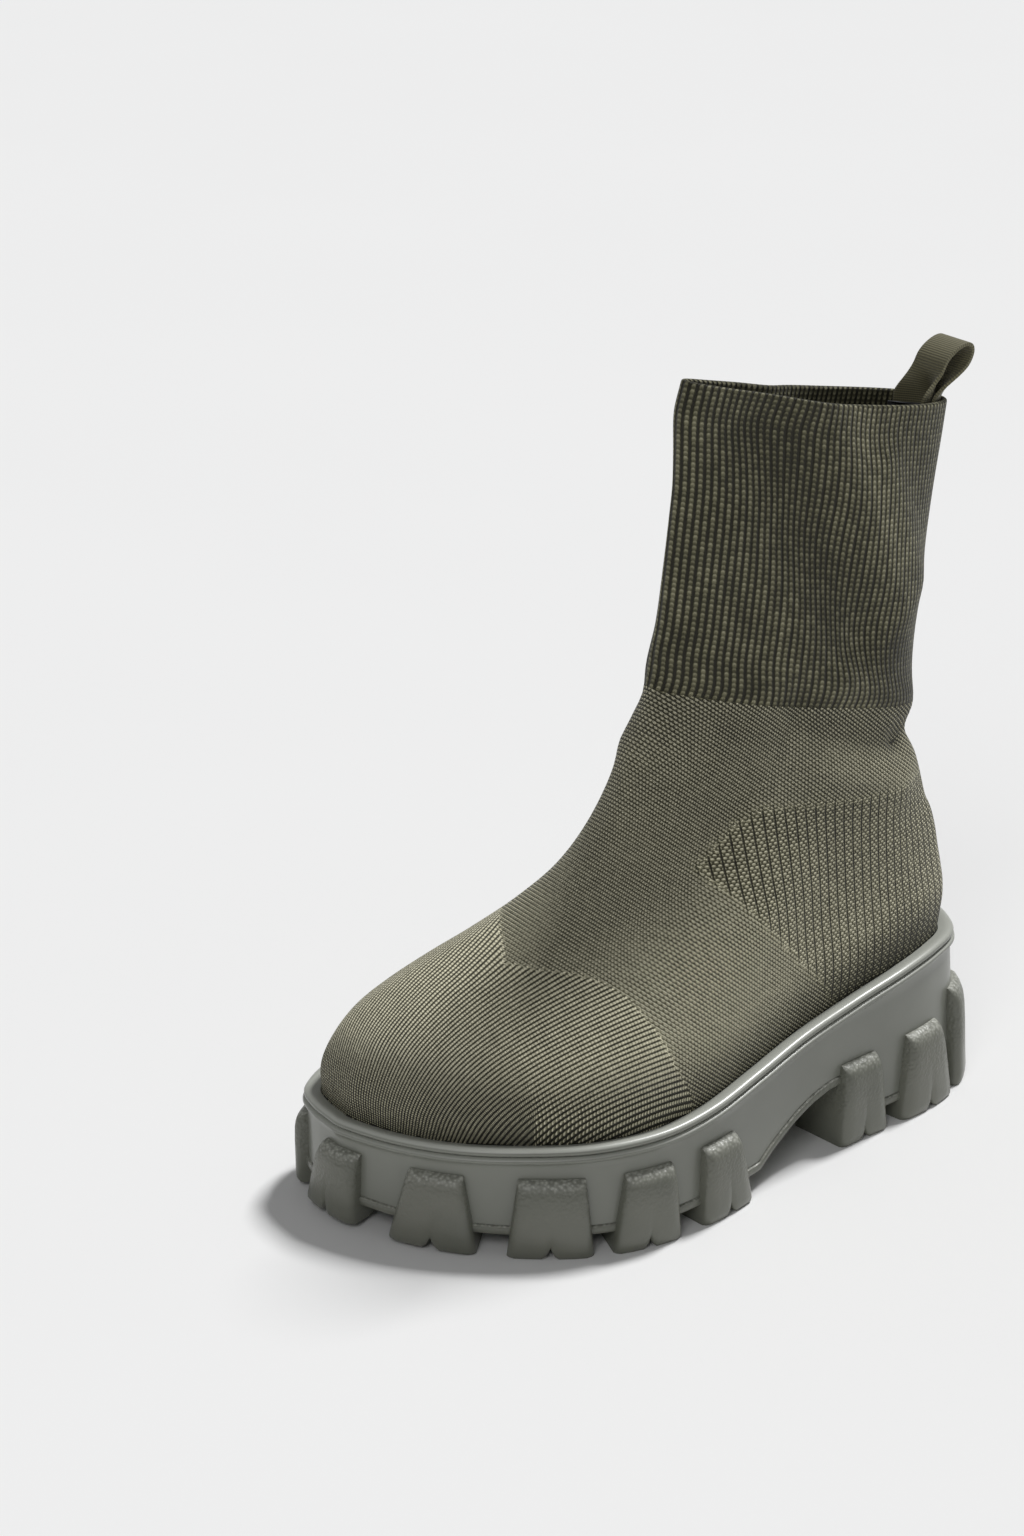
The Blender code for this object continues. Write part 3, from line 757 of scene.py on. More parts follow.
def foot_map(skin):
    """Wales that run up the instep, as wale and course numbers."""
    x, y, z = np.moveaxis(skin, 2, 0)
    slope = math.radians(FOOT_SLOPE)
    along = y * math.cos(slope) + z * math.sin(slope)
    up = z * math.cos(slope) - y * math.sin(slope) + FOOT_LIFT
    return np.stack((flat_round(x, up, FOOT_RADIUS) / FOOT_WALE, along / FOOT_COURSE), axis=2)


def toe_map(skin):
    """Wales that run forward over the toe, down its front and, at its sides, into the rim."""
    x, y, z = np.moveaxis(skin, 2, 0)
    across = x - (z - TOE_SIDE_TOP) * np.tanh(x / TOE_SIDE_TURN)
    ahead = TOE_BEND_START - y
    turn = np.arctan2(np.maximum(ahead, 0.0), np.maximum(z - TOE_BEND_HEIGHT, 1.0 * MM))
    along = np.where(ahead > 0.0, turn * TOE_BEND_RADIUS, ahead)
    return np.stack((across / TOE_WALE, along / TOE_COURSE), axis=2)


def heel_map(skin):
    """Wales that stand up round the heel."""
    x, y, z = np.moveaxis(skin, 2, 0)
    across = flat_round(x, y - HEEL_MIDDLE, HEEL_RADIUS)
    return np.stack((across / HEEL_WALE, z / HEEL_COURSE), axis=2)


def toe_reach(skin):
    """How far inside the toe's knit a point is."""
    x, y, z = np.moveaxis(skin, 2, 0)
    table = np.array(TOE_EDGE)
    turn = np.degrees(np.arctan2(np.abs(x), z - TOE_EDGE_HEIGHT))
    return np.interp(turn, table[:, 0], table[:, 1]) * MM - y


def heel_reach(skin):
    """How far inside the heel's knit a point is, seen from the side."""
    corners = np.array(HEEL_EDGE) * MM
    points = skin[:, :, 1:]
    nearest = np.full(points.shape[:2], 1.0)
    inside = np.zeros(points.shape[:2], dtype=bool)
    for start, end in zip(corners, np.roll(corners, -1, axis=0)):
        run = end - start
        reach = np.clip((points - start) @ run / (run @ run), 0.0, 1.0)
        away = np.linalg.norm(points - start - reach[:, :, None] * run, axis=2)
        nearest = np.minimum(nearest, away)
        spans = (start[1] > points[:, :, 1]) != (end[1] > points[:, :, 1])
        rise = run[1] if abs(run[1]) > 1e-9 else 1e-9
        crossing = start[0] + (points[:, :, 1] - start[1]) * run[0] / rise
        inside ^= spans & (points[:, :, 0] < crossing)
    return np.where(inside, nearest, -nearest)


def make_upper(material):
    """One hollow sock: outer skin, hem, lining and foot edge."""
    skin = outer_skin()
    normal = outward(skin)
    drop = np.array((0.0, 0.0, SEAT_DEPTH - CLEARANCE))
    foot = skin[:1] - drop
    lining = (skin - KNIT_WALL * normal)[::-4]
    lining_foot = lining[-1:] - drop
    outer = np.concatenate((foot, skin))
    whole = np.concatenate((outer, hem(skin, normal), lining, lining_foot, foot))
    first = 1 + RIB_RING * RING_STEPS
    girth = ring_lengths(whole)
    climb = climb_lengths(whole, first)
    crowd = SHAFT_CROWDING * np.sin(2.0 * math.pi * girth) / (2.0 * math.pi)
    shaft = np.stack(((girth - crowd) * SHAFT_RIBS, climb / SHAFT_COURSE), axis=2)
    maps = {"shaft": shaft, "foot": foot_map(whole), "toe": toe_map(whole), "heel": heel_map(whole)}
    # rim_reach and fold_shade carry the painted shade near the rim and along the folds
    traits = {"rib_reach": climb / MM, "toe_reach": toe_reach(whole) / MM,
              "heel_reach": heel_reach(whole) / MM, "paired": pairing(whole),
              "rim_reach": (whole[:, :, 2] - seat_height(whole[:, :, 1])) / MM,
              "fold_shade": along_folds(whole, FOLD_SHADES)}
    bm = bend_grid(whole, maps, traits)
    return finish_piece("knit_upper", bm, material, "knit", "upper", angle=60)


def pairing(skin):
    """How far the shaft's ribs stand in pairs: single at the front, paired at the back."""
    return smooth((skin[:, :, 1] - PAIRING_START) / PAIRING_SPAN)


# Sole

def make_platform(material):
    """Moulded platform: plain wall, two rim beads with a groove between, and the seat."""
    def wall(share):
        def height(y):
            return wall_foot(y) + share * (rim_height(y) - wall_foot(y))
        return plan_ring(lambda y: wall_inset(y, height(y)), height)

    def seat(y):
        return SEAT_INSET - CLEARANCE

    def seat_floor(y):
        return seat_height(y) - SEAT_DEPTH

    rings = [spine_ring(lambda y: wall_inset(y, wall_foot(y)), wall_foot)]
    rings += [wall(share) for share in WALL_SHARES]
    for inset, up in BEADS:
        rings.append(plan_ring(lambda y, inset=inset: inset * SEAT_INSET,
                               lambda y, up=up: rim_height(y) + up * BEAD_HEIGHT))
    rings.append(plan_ring(seat, lambda y: rim_height(y) + SEAT_EDGE_UP * BEAD_HEIGHT))
    rings.append(plan_ring(seat, seat_floor))
    rings.append(spine_ring(seat, seat_floor))
    bm = bend_grid(np.array(rings))
    return finish_piece("platform", bm, material, "midsole", "midsole", angle=50)


def plate_rings():
    """Tread plate with rounded edges."""
    def inset(y):
        return wall_inset(y, wall_foot(y)) - PLATE_LIP

    rings = [spine_ring(inset, plate_bottom)]
    for tuck, up in PLATE_EDGE:
        rings.append(plan_ring(lambda y, tuck=tuck: inset(y) + tuck * PLATE_LIP,
                               lambda y, up=up: plate_bottom(y) + up * PLATE_THICKNESS))
    rings.append(spine_ring(inset, lambda y: plate_bottom(y) + PLATE_THICKNESS))
    return np.array(rings)


def lug_section(row, across, proud, notch):
    """Closed section of a lug at a share of its width: face, wall side, foot."""
    side, top_start, top_end, foot_start, foot_end, rise = row
    top = rise * LUG_HEIGHT

    def place(up, outset, height=None):
        start = foot_start + (top_start - foot_start) * up
        end = foot_end + (top_end - foot_end) * up
        arc = SOLE_LENGTH * (start + (end - start) * across)
        y = edge_at_arc(side, arc, 0.0)[1]
        if height is None:
            foot = toe_lift(y) + notch * LUG_NOTCH * (1.0 - up) ** 4
            height = foot + up * (top - foot)
        else:
            height = height(y)
        x, y = edge_at_arc(side, arc, outset - wall_inset(y, height))
        return (x, y, height)

    def plate_middle(y):
        return plate_bottom(y) + 0.5 * PLATE_THICKNESS

    def stand(up, share):
        dent = 1.0 - NOTCH_DENT * notch * (1.0 - up) ** 4
        return share * proud * dent * LUG_PROUD - LUG_SINK

    points = [place(up, stand(up, share)) for up, share in LUG_FACE]
    points.append(place(1.0, -LUG_SINK))
    points.append(place(0.5, -LUG_SINK, lambda y: 0.5 * (top + plate_middle(y))))
    points.append(place(0.0, -LUG_SINK, plate_middle))
    points.append(place(0.0, -LUG_REACH, plate_middle))
    points.append(place(0.0, -LUG_REACH))
    points.append(points[0])
    return points


def make_lug(row):
    """One lug, its ends drawn in to a point that closes them flat."""
    sections = np.array([lug_section(row, *station) for station in LUG_STATIONS])
    caps = [np.broadcast_to(sections[k, :-1].mean(axis=0), sections[k].shape) for k in (0, -1)]
    return bend_grid(np.concatenate((caps[0][None], sections, caps[1][None])))


def make_block(along, across):
    """One block of the tread, from the floor into the plate."""
    y = along * SOLE_LENGTH
    foot = toe_lift(y)
    height = plate_bottom(y) + 0.5 * PLATE_THICKNESS - foot
    bm = bmesh.new()
    bmesh.ops.create_cube(bm, size=1.0)
    bmesh.ops.scale(bm, vec=(2.0 * BLOCK_HALF_WIDTH, BLOCK_LENGTH, height), verts=bm.verts)
    bmesh.ops.translate(bm, vec=(across * BALL_WIDTH, y, foot + 0.5 * height), verts=bm.verts)
    return bm


def make_tread(material):
    """Tread plate with its wrapped lugs and the blocks between them."""
    parts = [bend_grid(plate_rings())]
    parts += [make_lug(row) for row in LUGS]
    parts += [make_block(*row) for row in BLOCKS]
    return finish_piece("tread", join_meshes(parts), material, "outsole", "outsole",
                        angle=38, bevel=TREAD_ROUNDING)


def make_footbed(material):
    """Footbed inside the upper's foot edge, with a rounded rim."""
    def edge(y, tuck=0.0):
        return SEAT_INSET + KNIT_WALL + SOFT_CLEARANCE + tuck * FOOTBED_EDGE_TUCK

    def height(y, up=0.0):
        return seat_height(y) - SEAT_DEPTH + CLEARANCE + up * INSOLE_THICKNESS

    rings = [spine_ring(edge, height)]
    for tuck, up in FOOTBED_EDGE:
        rings.append(plan_ring(lambda y, tuck=tuck: edge(y, tuck), lambda y, up=up: height(y, up)))
    rings.append(spine_ring(edge, lambda y: height(y, 1.0)))
    return finish_piece("footbed", bend_grid(np.array(rings)), material, "insole", "insole")


# Pull loop, patch and back seam

def collar_back(x, drop, depth):
    """Point at the collar's back: x off its middle, drop below the rim, depth inside."""
    rows = np.array([upper_ring(row) for row in RINGS[-3:]])
    skin = rows - (KNIT_WALL + depth) * outward(rows)
    top, lower = (skin[row][STATIONS // 2:STATIONS + 1][::-1] for row in (-1, -2))
    high = np.array([np.interp(abs(x), top[:, 0], top[:, axis]) for axis in (1, 2)])
    low = np.array([np.interp(abs(x), lower[:, 0], lower[:, axis]) for axis in (1, 2)])
    down = (low - high) / np.linalg.norm(low - high)
    return high + drop * down


def strip(rows, thickness):
    """Closed band from rows of points along its middle surface, with UVs in metres."""
    grid = np.array(rows)
    normal = np.cross(np.gradient(grid, axis=1), np.gradient(grid, axis=0))
    normal /= np.linalg.norm(normal, axis=2)[:, :, None]
    front = grid + 0.5 * thickness * normal
    back = grid - 0.5 * thickness * normal
    body = np.concatenate((front, back[:, ::-1], front[:, :1]), axis=1)
    caps = [np.broadcast_to(body[k, :-1].mean(axis=0), body[k].shape) for k in (0, -1)]
    whole = np.concatenate((caps[0][None], body, caps[1][None]))
    climb = climb_lengths(whole, 0)
    count = grid.shape[1]
    middle = climb[:, count // 2:count // 2 + 1]
    across = np.cumsum(np.concatenate(((0.0,), np.linalg.norm(np.diff(grid[0], axis=0), axis=1))))
    shares = np.concatenate((across, across[::-1], across[:1]))
    uv = np.stack(np.broadcast_arrays(shares[None], middle), axis=2)
    return bend_grid(whole, {"band": uv})


def leg_point(x, drop, depth):
    """Point of a leg at a depth inside the lining's curve."""
    return (x, *collar_back(x, drop, depth))


def bow_point(x, angle, outer_depth, inner_depth):
    """Point of the bow above the collar, which leans back and flattens as it rises."""
    outer_y, rim_z = collar_back(0.0, 0.0, outer_depth)
    inner_y = collar_back(0.0, 0.0, inner_depth)[0]
    depth = outer_depth + (inner_depth - outer_depth) * angle / math.pi
    curve = collar_back(x, 0.0, depth) - collar_back(0.0, 0.0, depth)
    rise = math.sin(angle)
    spread = 0.5 * (outer_y - inner_y)
    spread += (LOOP_SPREAD - spread) * float(smooth(rise))
    y = 0.5 * (outer_y + inner_y) + spread * math.cos(angle) + LOOP_LEAN * rise * rise
    z = rim_z + LOOP_RISE * rise
    curled = 1.0 - float(smooth(1.5 * rise))
    return (x, y + curve[0] * curled, z + curve[1] * curled)


def make_loop(material):
    """Webbing loop whose two legs are sewn inside the back of the collar."""
    columns = np.linspace(-0.5, 0.5, 11) * LOOP_WIDTH
    outer_depth = SOFT_CLEARANCE + 0.5 * WEBBING
    inner_depth = outer_depth + WEBBING + SOFT_CLEARANCE
    rows = []
    for drop in LEG_DROPS:
        rows.append([leg_point(x, drop * LOOP_TUCK, outer_depth) for x in columns])
    for step in range(BOW_STEPS):
        angle = math.pi * (step + 0.5) / BOW_STEPS
        rows.append([bow_point(x, angle, outer_depth, inner_depth) for x in columns])
    for drop in LEG_DROPS[::-1]:
        rows.append([leg_point(x, drop * LOOP_TUCK, inner_depth) for x in columns])
    return finish_piece("loop", strip(rows, WEBBING), material, "webbing", "pull_loop",
                        angle=50, bevel=LOOP_ROUNDING)


def make_patch(material):
    """Cloth patch over the ends of the loop's legs."""
    depth = 3.0 * SOFT_CLEARANCE + 2.0 * WEBBING + 0.5 * PATCH_THICKNESS
    columns = np.linspace(-0.5, 0.5, 15) * PATCH_WIDTH
    rows = []
    for share in np.linspace(0.12, 1.1, 12):
        rows.append([leg_point(x, share * PATCH_HEIGHT, depth) for x in columns])
    return finish_piece("patch", strip(rows, PATCH_THICKNESS), material, "patch", "back_patch",
                        angle=50, bevel=PATCH_ROUNDING)


def make_back_seam(material):
    """Flat seam that closes the knit down the middle of the back."""
    skin = outer_skin()
    normal = outward(skin)
    rows = []
    for row in range(2 * RING_STEPS, len(skin) - 2, 2):
        middle = skin[row, STATIONS] + SEAM_LIFT * normal[row, STATIONS]
        rows.append([middle + Vector((share * SEAM_WIDTH, 0.0, 0.0))
                     for share in (-0.5, -0.2, 0.2, 0.5)])
    return finish_piece("back_seam", strip(rows, SEAM_THICKNESS), material, "knit",
                        angle=50, bevel=SEAM_ROUNDING)


# Materials

# Scales of the patterns in Object coordinates: how many features a metre holds. The yarn's
# hairs (0.4 mm) and the rubber's grain (1.2 mm) are drawn coarser than such yarn and rubber
# have them, which would be too fine to show. The rest are guesses at the real sizes: patches
# of yarn 26 mm, flow marks in the platform 42 mm and in the rubber 33 mm, the platform's grit
# 0.7 mm, specks 1.1 mm.
YARN_HAIRS = 2600.0
YARN_PATCHES = 38.0
PLATFORM_FLOW = 24.0
PLATFORM_GRIT = 1500.0
RUBBER_GRAIN = 850.0
RUBBER_FLOW = 30.0
FINE_SPECKS = 900.0

# Heights between which the lugs' grain grows to its full depth
GRAIN_START = 8.0 * MM
GRAIN_FULL = 24.0 * MM

# Grosgrain: spacing of its ribs and of the warp ends across them, as such tape has them
TAPE_RIB = 0.9 * MM
TAPE_END = 0.55 * MM

# A wave pattern of scale 1 repeats after this many metres
WAVE_REPEAT = math.pi / 10.0

# The yarn's tone by place: from and to in millimetres, then its shade at either end
# Up the leg: lighter towards the toe, darker up the shaft, as painted shade of the ribs' deeper
# valleys
TONE_UP_THE_LEG = (-110.0, 6.0, 0.18, -0.09)
# Above the rim: painted shade, darker where the knit meets the rim
PAINTED_RIM_SHADE = (0.0, 26.0, -0.42, 0.0)

# The knit's zones that lie over the foot's: how far in each point is, and the edge's
# softness in millimetres
ZONE_EDGES = (
    # zone, attribute, softness
    ("toe", "toe_reach", 1.6),
    ("heel", "heel_reach", 2.5),
    ("shaft", "rib_reach", 0.4),
)


def linear(colour):
    """An sRGB hex colour as linear RGBA."""
    values = [int(colour[k:k + 2], 16) / 255.0 for k in (1, 3, 5)]
    return [*(v / 12.92 if v <= 0.04045 else ((v + 0.055) / 1.055) ** 2.4 for v in values), 1.0]


def add(tree, kind, inputs=(), stops=(), **settings):
    """A node of that kind with its settings, its inputs linked or set; its first output.

    Stops are the places and colours of a colour ramp, its two ends first.
    """
    node = tree.nodes.new("ShaderNode" + kind)
    for name, value in settings.items():
        setattr(node, name, value)
    for index, (at, colour) in enumerate(stops):
        elements = node.color_ramp.elements
        stop = elements[index] if index < 2 else elements.new(at)
        stop.position = at
        stop.color = linear(colour)
    pairs = inputs.items() if isinstance(inputs, dict) else enumerate(inputs)
    for key, value in pairs:
        if isinstance(value, bpy.types.NodeSocket):
            tree.links.new(value, node.inputs[key])
        elif value is not None:
            node.inputs[key].default_value = value
    return node.outputs[0]


def start_material(name, roughness, **sockets):
    """A plain material, its tree, its shader and its place in Object coordinates."""
    material = bpy.data.materials.new(name)
    material.use_nodes = True
    tree = material.node_tree
    shader = tree.nodes["Principled BSDF"]
    shader.inputs["Roughness"].default_value = roughness
    shader.inputs["Metallic"].default_value = 0.0
    for key, value in sockets.items():
        shader.inputs[key.replace("_", " ")].default_value = value
    return material, tree, shader, add(tree, "TexCoord").node.outputs["Object"]


def link_shader(tree, shader, **sources):
    """Link sources to the shader's sockets of those names."""
    for key, source in sources.items():
        tree.links.new(source, shader.inputs[key.replace("_", " ")])


def off_middle(tree, value):
    """How far a value is from the middle of its unit step: 0 in the middle, 1 at its ends."""
    part = add(tree, "Math", (value, 1.0), operation="FLOORED_MODULO")
    part = add(tree, "Math", (part, 2.0, -1.0), operation="MULTIPLY_ADD")
    return add(tree, "Math", (part,), operation="ABSOLUTE")


def stitch_zone(tree, name, brick, arch, course_gap, line, every=1.0, paired=None, crown=0.4,
                swell=1.0, ground=0.0):
    """Height and chance shade of one zone's stitches, from its wale and course numbers.

    Brick moves every other course over, in wales, and arch bends each loop, in courses.
    Course_gap is the depth of the gap between courses, and line that of the gap between
    wales, which comes once in every so many. Where paired is 0, each wale has its own.
    Crown raises the top of a loop, which the colour shows as a painted highlight, and swell
    and ground stretch and lift the height.
    """
    place = add(tree, "UVMap", uv_map=name)
    split = add(tree, "SeparateXYZ", (place,)).node
    plain, course = split.outputs[0], split.outputs[1]
    number = add(tree, "Math", (course,), operation="FLOOR")
    odd = add(tree, "Math", (number, 2.0), operation="FLOORED_MODULO")
    wale = add(tree, "Math", (odd, brick, plain), operation="MULTIPLY_ADD")
    side = off_middle(tree, wale)
    square = add(tree, "Math", (side, side), operation="MULTIPLY")
    bent = add(tree, "Math", (square, arch, course), operation="MULTIPLY_ADD")
    rise = add(tree, "Math", (bent, 1.0), operation="FLOORED_MODULO")
    level = off_middle(tree, bent)
    across = add(tree, "MapRange", (side, 1.0, 0.25, 0.25, 1.0), interpolation_type="SMOOTHSTEP")
    along = add(tree, "MapRange", (level, 1.0, 0.3, 1.0 - course_gap, 1.0),
                interpolation_type="SMOOTHSTEP")
    bead = add(tree, "Math", (across, along), operation="MULTIPLY")
    # Painted highlight: the top edge of each loop is made lighter
    painted_crown_highlight = add(tree, "MapRange", (rise, 0.35, 0.85, 1.0 - crown, 1.0 + crown),
                      interpolation_type="SMOOTHSTEP")
    bead = add(tree, "Math", (bead, painted_crown_highlight), operation="MULTIPLY")
    gap = off_middle(tree, add(tree, "Math", (plain, every), operation="DIVIDE"))
    wide = 1.0 - 0.55 / every
    valley = add(tree, "MapRange", (gap, wide, 1.0, 0.0, line), interpolation_type="SMOOTHSTEP")
    if paired is not None:
        single = add(tree, "MapRange", (side, 0.45, 1.0, 0.0, 0.85),
                     interpolation_type="SMOOTHSTEP")
        valley = add(tree, "Mix", (paired, None, single, valley), data_type="FLOAT")
    keep = add(tree, "Math", (1.0, valley), operation="SUBTRACT")
    height = add(tree, "Math", (bead, keep), operation="MULTIPLY")
    height = add(tree, "Math", (height, swell, ground), operation="MULTIPLY_ADD")
    wale_number = add(tree, "Math", (wale,), operation="FLOOR")
    cell = add(tree, "CombineXYZ", (wale_number, number, 0.0))
    chance = add(tree, "TexWhiteNoise", (cell,), noise_dimensions="2D")
    return height, chance


def knit_material():
    """Flat-knitted polyester yarn, dark ground with lighter olive loops standing on it; painted shade
    in the gaps, painted highlights on the loops, painted shade at the rim and along the folds.
    """
    material, tree, shader, place = start_material(
        "olive_knit", 0.62, Sheen_Weight=0.08, Sheen_Roughness=0.5, Specular_IOR_Level=0.3)
    paired = add(tree, "Attribute", attribute_name="paired").node.outputs["Fac"]
    zones = {
        "foot": stitch_zone(tree, "foot", 0.5, 0.0, 0.95, 0.0, crown=0.6, swell=2.3,
                            ground=0.13),
        "toe": stitch_zone(tree, "toe", 0.0, 0.35, 0.30, 1.0, swell=1.62),
        "heel": stitch_zone(tree, "heel", 0.5, 0.3, 0.35, 1.0, every=2.0, swell=1.18),
        "shaft": stitch_zone(tree, "shaft", 0.0, 0.60, 0.15, 1.0, every=2.0, paired=paired,
                             crown=0.22, swell=0.74),
    }
    height, chance = zones["foot"]
    for name, reach, soft in ZONE_EDGES:
        edge = add(tree, "Attribute", attribute_name=reach).node.outputs["Fac"]
        mask = add(tree, "MapRange", (edge, -soft, soft, 0.0, 1.0))
        height = add(tree, "Mix", (mask, None, height, zones[name][0]), data_type="FLOAT")
        chance = add(tree, "Mix", (mask, None, chance, zones[name][1]), data_type="FLOAT")
    patchy = add(tree, "TexNoise", {"Vector": place, "Scale": YARN_PATCHES, "Detail": 3.0})
    fuzz = add(tree, "TexNoise", {"Vector": place, "Scale": YARN_HAIRS, "Detail": 2.0})
    # Tone up the leg: darker up the shaft, painted shade of the ribs' deeper valleys
    ribbed = add(tree, "Attribute", attribute_name="rib_reach").node.outputs["Fac"]
    ribbed = add(tree, "MapRange", (ribbed, *TONE_UP_THE_LEG))
    # Painted shade near the rim
    rim_shade = add(tree, "Attribute", attribute_name="rim_reach").node.outputs["Fac"]
    rim_shade = add(tree, "MapRange", (rim_shade, *PAINTED_RIM_SHADE), interpolation_type="SMOOTHSTEP")
    # Painted shade and painted light along the folds
    painted_fold_shade = add(tree, "Attribute", attribute_name="fold_shade").node.outputs["Fac"]
    tone = add(tree, "Math", (ribbed, rim_shade), operation="ADD")
    tone = add(tree, "Math", (tone, painted_fold_shade), operation="ADD")
    for part, weight in ((height, 0.78), (chance, 0.16), (patchy, 0.22), (fuzz, 0.22)):
        tone = add(tree, "Math", (part, weight, tone), operation="MULTIPLY_ADD")
    tone = add(tree, "Math", (tone, 0.33), operation="SUBTRACT")
    # The stitches' height runs into the colour: painted shade in the gaps, painted highlight on the
    # loops
    yarn = add(tree, "ValToRGB", (tone,), stops=((0.0, "#211f13"), (1.0, "#f1ecce"), (0.25, "#44422d"),
                                                 (0.50, "#7b785f"), (0.75, "#b7b397")))
    relief = add(tree, "Math", (fuzz, 0.12, height), operation="MULTIPLY_ADD")
    bump = add(tree, "Bump", {"Height": relief, "Strength": 1.0, "Distance": 0.8 * MM})
    link_shader(tree, shader, Base_Color=yarn, Normal=bump)
    return material


def upward(tree, low, high, most):
    """How much a point faces up, from none at the low slope to the most at the high one."""
    facing = add(tree, "SeparateXYZ", (add(tree, "NewGeometry").node.outputs["Normal"],)).node
    return add(tree, "MapRange", (facing.outputs[2], low, high, 0.0, most),
               interpolation_type="SMOOTHSTEP")


def platform_material():
    """Injection-moulded EVA, painted olive grey: satin, faintly uneven, with a painted highlight where
    it faces up.
    """
    material, tree, shader, place = start_material(
        "moulded_eva", 0.46, Coat_Weight=0.3, Coat_Roughness=0.2)
    cloud = add(tree, "TexNoise", {"Vector": place, "Scale": PLATFORM_FLOW, "Detail": 4.0})
    grit = add(tree, "TexNoise", {"Vector": place, "Scale": PLATFORM_GRIT, "Detail": 2.0})
    grey = add(tree, "ValToRGB", (cloud,), stops=((0.35, "#73756c"), (0.65, "#7c7e75")))
    # Painted highlight: the colour turns paler where the surface faces up, where the light falls
    painted_highlight = upward(tree, 0.20, 0.80, 0.75)
    paint = add(tree, "Mix", {0: painted_highlight, 6: grey, 7: linear("#bcbeb6")}, data_type="RGBA")
    rough = add(tree, "MapRange", (cloud, 0.3, 0.7, 0.32, 0.42))
    bump = add(tree, "Bump", {"Height": grit, "Strength": 0.12, "Distance": 0.1 * MM})
    link_shader(tree, shader, Base_Color=paint.node.outputs[2], Roughness=rough, Normal=bump)
    return material


def rubber_material():
    """Moulded rubber: satin grey, a leather grain on the lugs' upper half, a painted highlight with
    glints on the shoulders.
    """
    material, tree, shader, place = start_material("grained_rubber", 0.5)
    height = add(tree, "SeparateXYZ", (place,)).node.outputs[2]
    cells = add(tree, "TexVoronoi", {"Vector": place, "Scale": RUBBER_GRAIN}, feature="SMOOTH_F1")
    fine = add(tree, "TexNoise", {"Vector": place, "Scale": FINE_SPECKS, "Detail": 3.0})
    grain = add(tree, "Math", (fine, 0.5, cells), operation="MULTIPLY_ADD")
    upper_half = add(tree, "MapRange", (height, GRAIN_START, GRAIN_FULL, 0.15, 1.0),
                     interpolation_type="SMOOTHSTEP")
    grain = add(tree, "Math", (grain, upper_half), operation="MULTIPLY")
    cloud = add(tree, "TexNoise", {"Vector": place, "Scale": RUBBER_FLOW, "Detail": 4.0})
    grey = add(tree, "ValToRGB", (cloud,), stops=((0.35, "#67695f"), (0.65, "#717268")))
    # Painted highlight on the up-facing shoulders, broken into painted glints by the grain's cells
    painted_highlight = upward(tree, 0.20, 0.85, 0.85)
    painted_glints = add(tree, "MapRange", (cells, 0.1, 0.6, 1.0, 0.25))
    painted_highlight = add(tree, "Math", (painted_highlight, painted_glints), operation="MULTIPLY")
    skin = add(tree, "Mix", {0: painted_highlight, 6: grey, 7: linear("#c4c5bc")}, data_type="RGBA")
    rough = add(tree, "MapRange", (grain, 0.2, 1.0, 0.30, 0.48))
    bump = add(tree, "Bump", {"Height": grain, "Strength": 1.0, "Distance": 0.30 * MM})
    link_shader(tree, shader, Base_Color=skin.node.outputs[2], Roughness=rough, Normal=bump)
    return material


def webbing_material():
    """Woven polyester grosgrain: matt olive tape with fine weft ribs straight across."""
    material, tree, shader, place = start_material("grosgrain_tape", 0.62, Sheen_Weight=0.15)
    uv = add(tree, "SeparateXYZ", (add(tree, "UVMap", uv_map="band"),)).node
    ribs = add(tree, "Math", (uv.outputs[1], 2 * math.pi / TAPE_RIB), operation="MULTIPLY")
    ribs = add(tree, "Math", (ribs,), operation="SINE")
    ends = add(tree, "Math", (uv.outputs[0], 2 * math.pi / TAPE_END), operation="MULTIPLY")
    ends = add(tree, "Math", (ends,), operation="SINE")
    weave = add(tree, "Math", (ends, 0.3, ribs), operation="MULTIPLY_ADD")
    level = add(tree, "MapRange", (weave, -1.3, 1.3, 0.0, 1.0))
    fuzz = add(tree, "TexNoise", {"Vector": place, "Scale": FINE_SPECKS, "Detail": 2.0})
    tone = add(tree, "Math", (fuzz, 0.25, level), operation="MULTIPLY_ADD")
    olive = add(tree, "ValToRGB", (tone,), stops=((0.0, "#454333"), (1.0, "#7a7557")))
    bump = add(tree, "Bump", {"Height": level, "Strength": 0.6, "Distance": 0.2 * MM})
    link_shader(tree, shader, Base_Color=olive, Normal=bump)
    return material


def cloth_material(name, low, high, thread):
    """Plain-woven polyester in a dark yarn: matt, with the even grain of its threads."""
    material, tree, shader, place = start_material(name, 0.85, Sheen_Weight=0.1)
    wave = {"Vector": place, "Scale": WAVE_REPEAT / thread, "Distortion": 0.6, "Detail": 1.0}
    weave, cross = (add(tree, "TexWave", wave, bands_direction=way).node.outputs["Fac"]
                    for way in "ZX")
    level = add(tree, "Math", (weave, cross), operation="MULTIPLY")
    colour = add(tree, "ValToRGB", (level,), stops=((0.0, low), (1.0, high)))
    bump = add(tree, "Bump", {"Height": level, "Strength": 0.5, "Distance": 0.2 * MM})
    link_shader(tree, shader, Base_Color=colour, Normal=bump)
    return material


# Studio

def floor_material():
    """Studio floor in matt white paint, hardly uneven, so that only the shadow shows on it."""
    material, tree, shader, place = start_material("studio_floor", 0.9, Specular_IOR_Level=0.1)
    cloud = add(tree, "TexNoise", {"Vector": place, "Scale": 3.0, "Detail": 2.0})
    paint = add(tree, "ValToRGB", (cloud,), stops=((0.0, "#efefef"), (1.0, "#f1f1f1")))
    link_shader(tree, shader, Base_Color=paint)
    return material


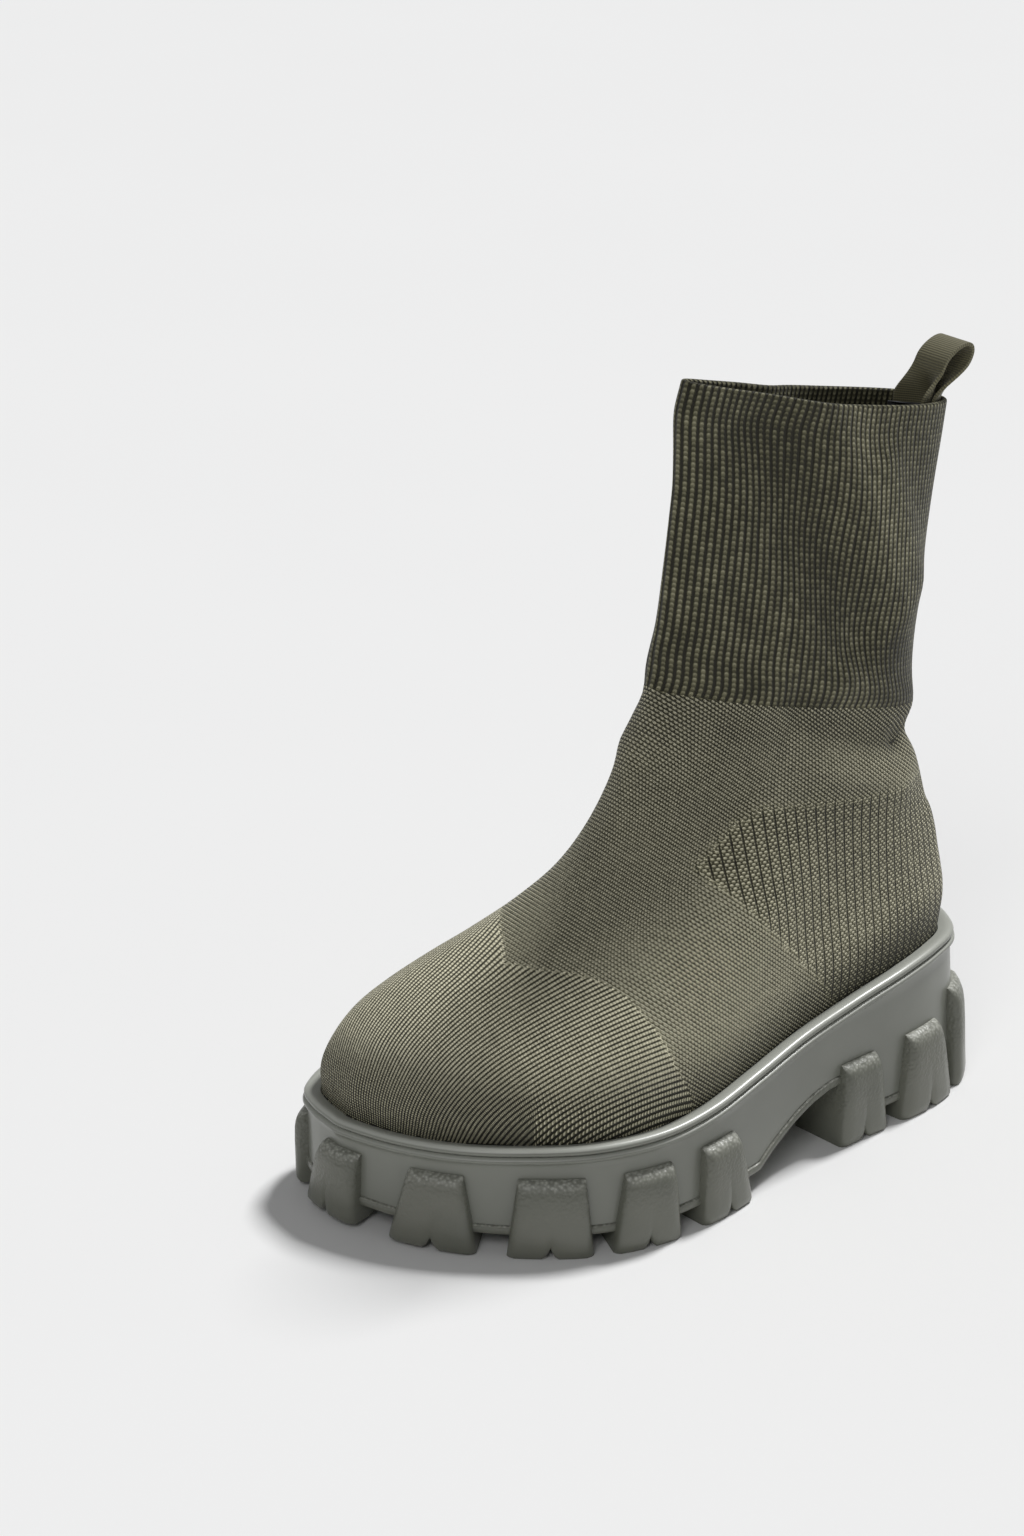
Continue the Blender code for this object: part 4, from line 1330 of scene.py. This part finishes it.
def make_floor():
    """Large pale floor under the boot."""
    bm = bmesh.new()
    bmesh.ops.create_grid(bm, x_segments=8, y_segments=8, size=14.0)
    mesh = bpy.data.meshes.new("floor")
    bm.to_mesh(mesh)
    bm.free()
    mesh.materials.append(floor_material())
    floor = bpy.data.objects.new("floor", mesh)
    bpy.context.collection.objects.link(floor)


def add_sun(name, towards, strength, spread):
    """A distant softbox: the way to it, its strength and how wide it looks in degrees."""
    lamp = bpy.data.lights.new(name, "SUN")
    lamp.energy = strength
    lamp.angle = math.radians(spread)
    item = bpy.data.objects.new(name, lamp)
    item.rotation_euler = Vector(towards).to_track_quat("Z", "Y").to_euler()
    bpy.context.collection.objects.link(item)


def make_studio():
    """Pale world, a high softbox behind to the right and a weaker one in front."""
    world = bpy.data.worlds.new("studio")
    bpy.context.scene.world = world
    world.use_nodes = True
    sky = world.node_tree.nodes["Background"]
    sky.inputs["Color"].default_value = linear("#f4f5f6")
    sky.inputs["Strength"].default_value = 0.17
    add_sun("back_right", (-0.08, 0.58, 1.0), 2.65, 11)
    add_sun("front", (0.55, -0.70, 0.80), 0.48, 25)
    bpy.context.scene.view_settings.view_transform = "Standard"


def make_camera():
    """Camera at the photograph's angle."""
    azimuth, elevation = math.radians(CAMERA_AZIMUTH), math.radians(CAMERA_ELEVATION)
    back = Vector((math.sin(azimuth) * math.cos(elevation),
                   -math.cos(azimuth) * math.cos(elevation), math.sin(elevation)))
    right = Vector((math.cos(azimuth), math.sin(azimuth), 0.0))
    up = back.cross(right)
    lens = bpy.data.cameras.new("camera")
    lens.sensor_fit = "VERTICAL"
    lens.sensor_height = 36.0
    lens.lens = CAMERA_LENS
    camera = bpy.data.objects.new("camera", lens)
    turn = Matrix((right, up, back)).transposed()
    camera.matrix_world = Matrix.Translation(CAMERA_PLACE) @ turn.to_4x4()
    bpy.context.collection.objects.link(camera)
    bpy.context.scene.camera = camera


def rim_shift():
    """From the toe's tip on the heel's axis to the part's frame."""
    low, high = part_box("midsole")
    table = np.vstack((EDGES[1], EDGES[-1]))
    wide = 0.5 * (table[:, 0].min() + table[:, 0].max())
    return Vector((0.5 * (low[0] + high[0]) - wide,
                   0.5 * (low[1] + high[1]) - 0.5 * (table[:, 1].min() + table[:, 1].max()), 0.0))


SHIFT = rim_shift()
make_camera()
make_floor()
make_studio()
make_upper(knit_material())
make_platform(platform_material())
make_tread(rubber_material())
make_footbed(cloth_material("footbed_cloth", "#1c1d1b", "#3a3b37", 0.449 * MM))
make_loop(webbing_material())
make_patch(cloth_material("patch_cloth", "#232326", "#3f4045", 0.393 * MM))
make_back_seam(cloth_material("seam_thread", "#1f2019", "#3a3a2e", 0.349 * MM))
